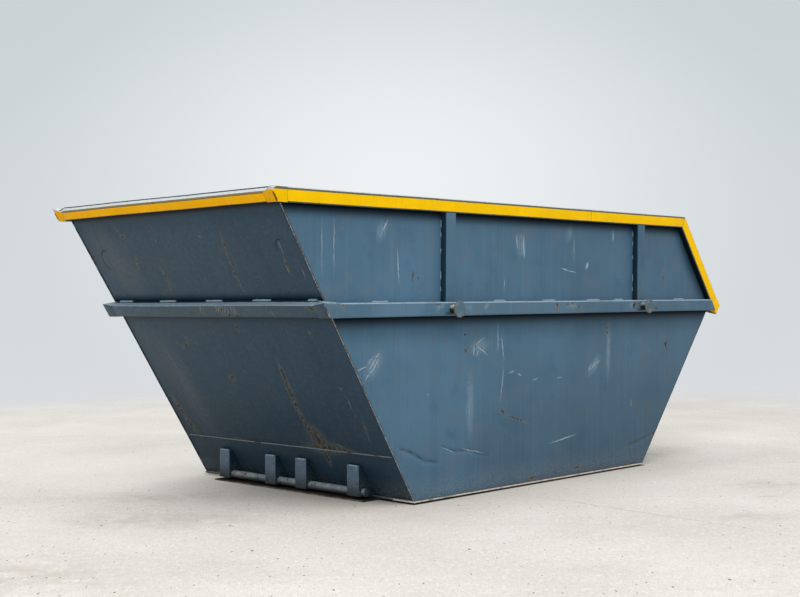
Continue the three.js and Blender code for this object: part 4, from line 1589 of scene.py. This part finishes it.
def build_welds():
    rusty = bmesh.new()
    painted = bmesh.new()
    seam = bmesh.new()
    dark = bmesh.new()
    brown = bmesh.new()
    rubbed = bmesh.new()
    weld_plates(rusty, dark, seam)
    stitch_folds(painted)
    rub_corners(painted, rubbed, brown)
    to_piece("rubbed_corners", rubbed, ["rubbed"])
    to_piece("worn_corner_edges", brown, ["corner_edge"])
    to_piece("painted_welds", painted, ["weld_blue"])
    to_piece("seam_weld", seam, ["weld_seam"])
    to_piece("dark_weld", dark, ["dark_edge"])
    to_piece("rusty_welds", rusty, ["weld_rusty"])


# Floor, backdrop and light

FLOOR_REACH = 40.0
FADE_START = 5.0
FADE_END = 8.2

# Marks on the floor: place, half length, half width and turn
FLOOR_LINES = [
    (-0.400, -1.87, 1.25, 0.0060, 85.6),
    (0.515, -2.145, 0.11, 0.012, -45.6),
    (-3.45, 0.75, 0.90, 0.006, -38),
    (1.9, -1.6, 0.5, 0.006, -60),
]
FLOOR_STAINS = [
    (-1.75, 0.32, 0.85, 0.26, -45),
    (-2.15, -0.30, 0.80, 0.34, -45),
    (-3.50, -0.80, 1.10, 0.55, -45),
    (-0.15, -2.40, 0.35, 0.20, -45),
    (0.90, -1.90, 0.45, 0.22, -30),
    (1.75, -0.60, 0.60, 0.30, 0),
    (-3.30, -1.90, 0.80, 0.30, -45),
]
CRACK_ANGLE = -45.6

# Painted light on the floor, lifting the studio lamps' shade: behind the skip and along its near side
BEHIND_PAINTED_LIGHT = [(2.35, -0.45, 1.3, 0.9, 0)]
SIDE_PAINTED_LIGHT = [(0.35, -1.45, 2.0, 0.80, 0)]


def speck_layer(surface, place, scale, size, share):
    """Grit: small dots, one in some of the cells."""
    inputs = [("Vector", place), ("Scale", scale)]
    cells = surface.add("ShaderNodeTexVoronoi", inputs, voronoi_dimensions="2D").outputs
    chance = surface.add("ShaderNodeSeparateColor", [("Color", cells["Color"])]).outputs
    reach = surface.times(size, chance[1])
    dot = surface.math("LESS_THAN", cells["Distance"], reach)
    return surface.times(dot, surface.math("LESS_THAN", chance[0], share))


def footprint(surface):
    """How far a place lies outside the hull's floor."""
    parts = surface.parts(surface.position)
    middle = HULL_START + FLOOR_LENGTH / 2
    along = surface.math("ABSOLUTE", surface.math("SUBTRACT", parts[0], middle))
    along = surface.math("SUBTRACT", along, FLOOR_LENGTH / 2)
    across = surface.math("SUBTRACT", surface.math("ABSOLUTE", parts[1]), HALF_WIDTH)
    return surface.most(along, across)


def painted_floor_light(surface):
    """Painted light on the floor beyond the skip, where the studio lamps throw its shade."""
    parts = surface.parts(surface.position)
    along = surface.times(surface.band(parts[0], -2.6, -1.1), surface.band(parts[0], 1.8, 0.8))
    across = surface.times(surface.band(parts[1], 0.0, 1.1), surface.band(parts[1], 2.8, 1.4))
    beside = surface.times(along, across)
    away = surface.band(parts[1], 1.8, 3.0)
    behind = surface.band(surface.nearest(surface.position, BEHIND_PAINTED_LIGHT), 1.0, 0.1)
    total = surface.scaled(beside, 0.29, surface.times(away, 0.06))
    total = surface.scaled(behind, 0.12, total)
    side = surface.band(surface.nearest(surface.position, SIDE_PAINTED_LIGHT), 1.0, 0.3)
    return surface.scaled(side, 0.055, total)


def turned(surface, scale):
    """Places turned the way of the floor's crack and stretched, for a grain that runs with it."""
    turn = (0, 0, math.radians(CRACK_ANGLE))
    inputs = [("Vector", surface.position), ("Rotation", turn), ("Scale", scale)]
    return surface.output("ShaderNodeMapping", inputs, vector_type="TEXTURE")


def floor_material():
    """Pale concrete that gives way to the backdrop far from the skip."""
    surface = Surface("concrete")
    mottle = surface.noise(0.9, 6.0, 0.6)
    patch = surface.noise(7.0, 6.0, 0.7)
    drawn = turned(surface, (1.0, 2.4, 1.0))
    grain = surface.noise(120.0, 3.0, 0.85, drawn)
    sand = surface.noise(48.0, 4.0, 0.8, drawn)
    surface.colour = surface.wash(mottle, 0.30, 0.72, (0.600, 0.570, 0.522), (0.690, 0.668, 0.625))
    surface.tint(patch, 0.52, 0.74, 0.35, (0.52, 0.47, 0.41))
    surface.tint(patch, 0.46, 0.26, 0.30, (0.75, 0.745, 0.72))
    surface.tint(grain, 0.51, 0.66, 0.56, (0.37, 0.34, 0.30))
    surface.tint(sand, 0.51, 0.68, 0.42, (0.84, 0.83, 0.80))
    surface.tint(sand, 0.46, 0.30, 0.32, (0.40, 0.365, 0.32))
    # Darker and browner close to the hull, where its shadow lies: partly dirt and partly painted shade
    near = surface.math("POWER", surface.band(footprint(surface), 0.85, 0.0), 1.5)
    near = surface.times(near, surface.scaled(patch, 0.8, 0.6))
    surface.lay(near, (0.50, 0.435, 0.37), 0.42)
    trail = surface.noise(1.0, 6.0, 0.65, turned(surface, (1.4, 0.10, 1.0)))
    surface.tint(trail, 0.55, 0.72, 0.26, (0.50, 0.45, 0.39))

    bend = surface.bent(surface.position, 5.0, 4.0, 0.04)
    flat = surface.vector("MULTIPLY", surface.position, (1, 1, 0))
    torn = surface.vector("ADD", flat, bend)
    stain = surface.band(surface.nearest(torn, FLOOR_STAINS), 1.0, 0.1)
    stain = surface.times(stain, surface.band(patch, 0.32, 0.62))
    surface.lay(stain, (0.42, 0.365, 0.31), 0.46)
    line = surface.band(surface.nearest(torn, FLOOR_LINES), 1.0, 0.2)
    line = surface.times(line, surface.band(patch, 0.22, 0.46))
    surface.lay(line, (0.22, 0.19, 0.165), 0.65)
    near_grit = speck_layer(surface, drawn, 3.8, 0.023, 0.70)
    fine_grit = speck_layer(surface, drawn, 15.0, 0.058, 0.50)
    surface.lay(surface.most(near_grit, fine_grit), (0.09, 0.08, 0.075), 0.88)
    # A painted contact shadow, near-black, in a thin band just outside the hull's foot
    surface.lay(surface.band(footprint(surface), 0.024, 0.006), (0.010, 0.009, 0.008), 0.97)

    lift = surface.math("ADD", grain, surface.times(sand, 0.5))
    bump = surface.output("ShaderNodeBump", [("Strength", 0.35), ("Distance", 0.0015), ("Height", lift)])
    return faded(surface, flat, bump)


def faded(surface, flat, bump):
    """The floor's shader, with its painted light, clear far away so that the backdrop takes over."""
    seen = surface.add("ShaderNodeLightPath").outputs
    clear_view = surface.most(seen["Is Camera Ray"], seen["Is Glossy Ray"])
    inputs = [
        ("Base Color", surface.colour), ("Roughness", 0.85), ("Specular IOR Level", 0.2), ("Normal", bump),
    ]
    shader = surface.output("ShaderNodeBsdfPrincipled", inputs)
    far = surface.band(surface.vector("LENGTH", flat), FADE_START, FADE_END)
    shown = surface.times(far, clear_view)
    clear = surface.output("ShaderNodeBsdfTransparent")
    # Painted light: a glow that only the camera sees, where the floor lies in the skip's shade
    painted_light_amount = surface.times(painted_floor_light(surface), seen["Is Camera Ray"])
    glow = surface.output("ShaderNodeEmission", [("Color", (1.0, 0.975, 0.90, 1.0)), ("Strength", painted_light_amount)])
    shader = surface.output("ShaderNodeAddShader", [(0, shader), (1, glow)])
    mixed = surface.output("ShaderNodeMixShader", [(0, shown), (1, shader), (2, clear)])
    surface.end("ShaderNodeOutputMaterial", mixed)
    return surface.material


def build_floor():
    shape = bmesh.new()
    bmesh.ops.create_grid(shape, x_segments=8, y_segments=8, size=FLOOR_REACH)
    mesh = bpy.data.meshes.new("studio_floor")
    shape.to_mesh(mesh)
    shape.free()
    mesh.materials.append(floor_material())
    ground = bpy.data.objects.new("studio_floor", mesh)
    bpy.context.scene.collection.objects.link(ground)


# The camera, fitted to the skip's own edges in the photograph: its place is counted from the
# floor's front edge and top
CAMERA_PLACE = Vector((-4.86517, -5.56893, 1.06907))
CAMERA_YAW = 0.796106
CAMERA_PITCH = 0.000486
CAMERA_ROLL = -0.0072315
FOCAL_PIXELS = 1277.68
PHOTO_WIDTH = 800
SENSOR = 36.0


def camera_axes():
    """The camera's right, up and forward directions."""
    level = math.cos(CAMERA_PITCH)
    forward = Vector((math.sin(CAMERA_YAW) * level, math.cos(CAMERA_YAW) * level, math.sin(CAMERA_PITCH)))
    right = Vector((math.cos(CAMERA_YAW), -math.sin(CAMERA_YAW), 0))
    up = right.cross(forward)
    rolled = right * math.cos(CAMERA_ROLL) + up * math.sin(CAMERA_ROLL)
    return rolled, rolled.cross(forward), forward


def build_camera():
    data = bpy.data.cameras.new("camera")
    data.sensor_width = SENSOR
    data.lens = FOCAL_PIXELS * SENSOR / PHOTO_WIDTH
    right, up, forward = camera_axes()
    matrix = Matrix((right, up, -forward)).transposed().to_4x4()
    matrix.translation = CAMERA_PLACE + Vector((HULL_START, 0, FLOOR_TOP))
    camera = bpy.data.objects.new("camera", data)
    camera.matrix_world = matrix
    bpy.context.scene.collection.objects.link(camera)
    bpy.context.scene.camera = camera


# The backdrop's glow: how far its middle stands above the camera's view line and how far it
# reaches, as tangents across and up
GLOW_RISE = 0.093
GLOW_REACH = (0.35, 0.225)
BACKDROP_HIGH = (0.597, 0.650, 0.672)
BACKDROP_LOW = (0.690, 0.716, 0.745)
BACKDROP_GLOW = (0.855, 0.880, 0.905)
LIGHT_LOW = (0.575, 0.58, 0.595)
LIGHT_HIGH = (0.86, 0.865, 0.88)


def backdrop_glow(nodes, direction):
    """How near a direction lies to the middle of the glow, from 0 to 1."""
    right, up, forward = camera_axes()
    depth = nodes.most(nodes.vector("DOT_PRODUCT", direction, forward), 0.05)
    across = nodes.math("DIVIDE", nodes.vector("DOT_PRODUCT", direction, right), depth)
    rise = nodes.math("DIVIDE", nodes.vector("DOT_PRODUCT", direction, up), depth)
    across = nodes.math("DIVIDE", across, GLOW_REACH[0])
    rise = nodes.math("DIVIDE", nodes.math("SUBTRACT", rise, GLOW_RISE), GLOW_REACH[1])
    squares = nodes.math("ADD", nodes.math("POWER", across, 2.0), nodes.math("POWER", rise, 2.0))
    return nodes.band(nodes.math("SQRT", squares), 1.0, 0.0)


def build_world():
    """The backdrop that camera and mirror rays see, and the soft light that the rest get."""
    world = bpy.data.worlds.new("studio")
    world.use_nodes = True
    bpy.context.scene.world = world
    nodes = Nodes(world.node_tree)
    direction = nodes.add("ShaderNodeTexCoord").outputs["Generated"]
    glow = backdrop_glow(nodes, direction)
    height = nodes.parts(direction)[2]
    backdrop = nodes.mix(nodes.band(height, 0.20, -0.08, "LINEAR"), BACKDROP_HIGH, BACKDROP_LOW)
    backdrop = nodes.mix(glow, backdrop, BACKDROP_GLOW)
    light = nodes.mix(nodes.band(height, 0.15, 0.95), LIGHT_LOW, LIGHT_HIGH)
    seen = nodes.add("ShaderNodeLightPath").outputs
    shown = nodes.most(seen["Is Camera Ray"], seen["Is Glossy Ray"])
    shown = nodes.most(shown, seen["Is Transmission Ray"])
    background = nodes.output("ShaderNodeBackground", [(0, nodes.mix(shown, light, backdrop))])
    nodes.end("ShaderNodeOutputWorld", background)


def add_softbox(name, place, target, size, power):
    data = bpy.data.lights.new(name, "AREA")
    data.shape = "RECTANGLE"
    data.size, data.size_y = size
    data.energy = power
    lamp = bpy.data.objects.new(name, data)
    lamp.location = place
    lamp.rotation_euler = (Vector(target) - Vector(place)).to_track_quat("-Z", "Y").to_euler()
    bpy.context.scene.collection.objects.link(lamp)


def build_lights():
    add_softbox("top_softbox", (-6.5, 0.5, 11.0), (-1.2, 0, 0.5), (6.0, 6.0), 262)
    add_softbox("side_softbox", (-5.0, -17.0, 24.0), (0.1, 0, 0.7), (24.0, 24.0), 5300)
    add_softbox("front_softbox", (-10.0, -2.0, 2.6), (-1.5, 0, 1.2), (5.0, 3.0), 95)


build_side_plates()
build_end_plates()
build_floor_plate()
for side_name, side_matrix in SIDES.items():
    build_side_folds(side_name, side_matrix)
build_end_rims()
build_front_rail()
build_lugs()
build_tipping_bar()
build_runners()
build_corner_caps()
build_welds()
build_floor()
build_camera()
build_world()
build_lights()

bpy.context.scene.view_settings.view_transform = "Standard"
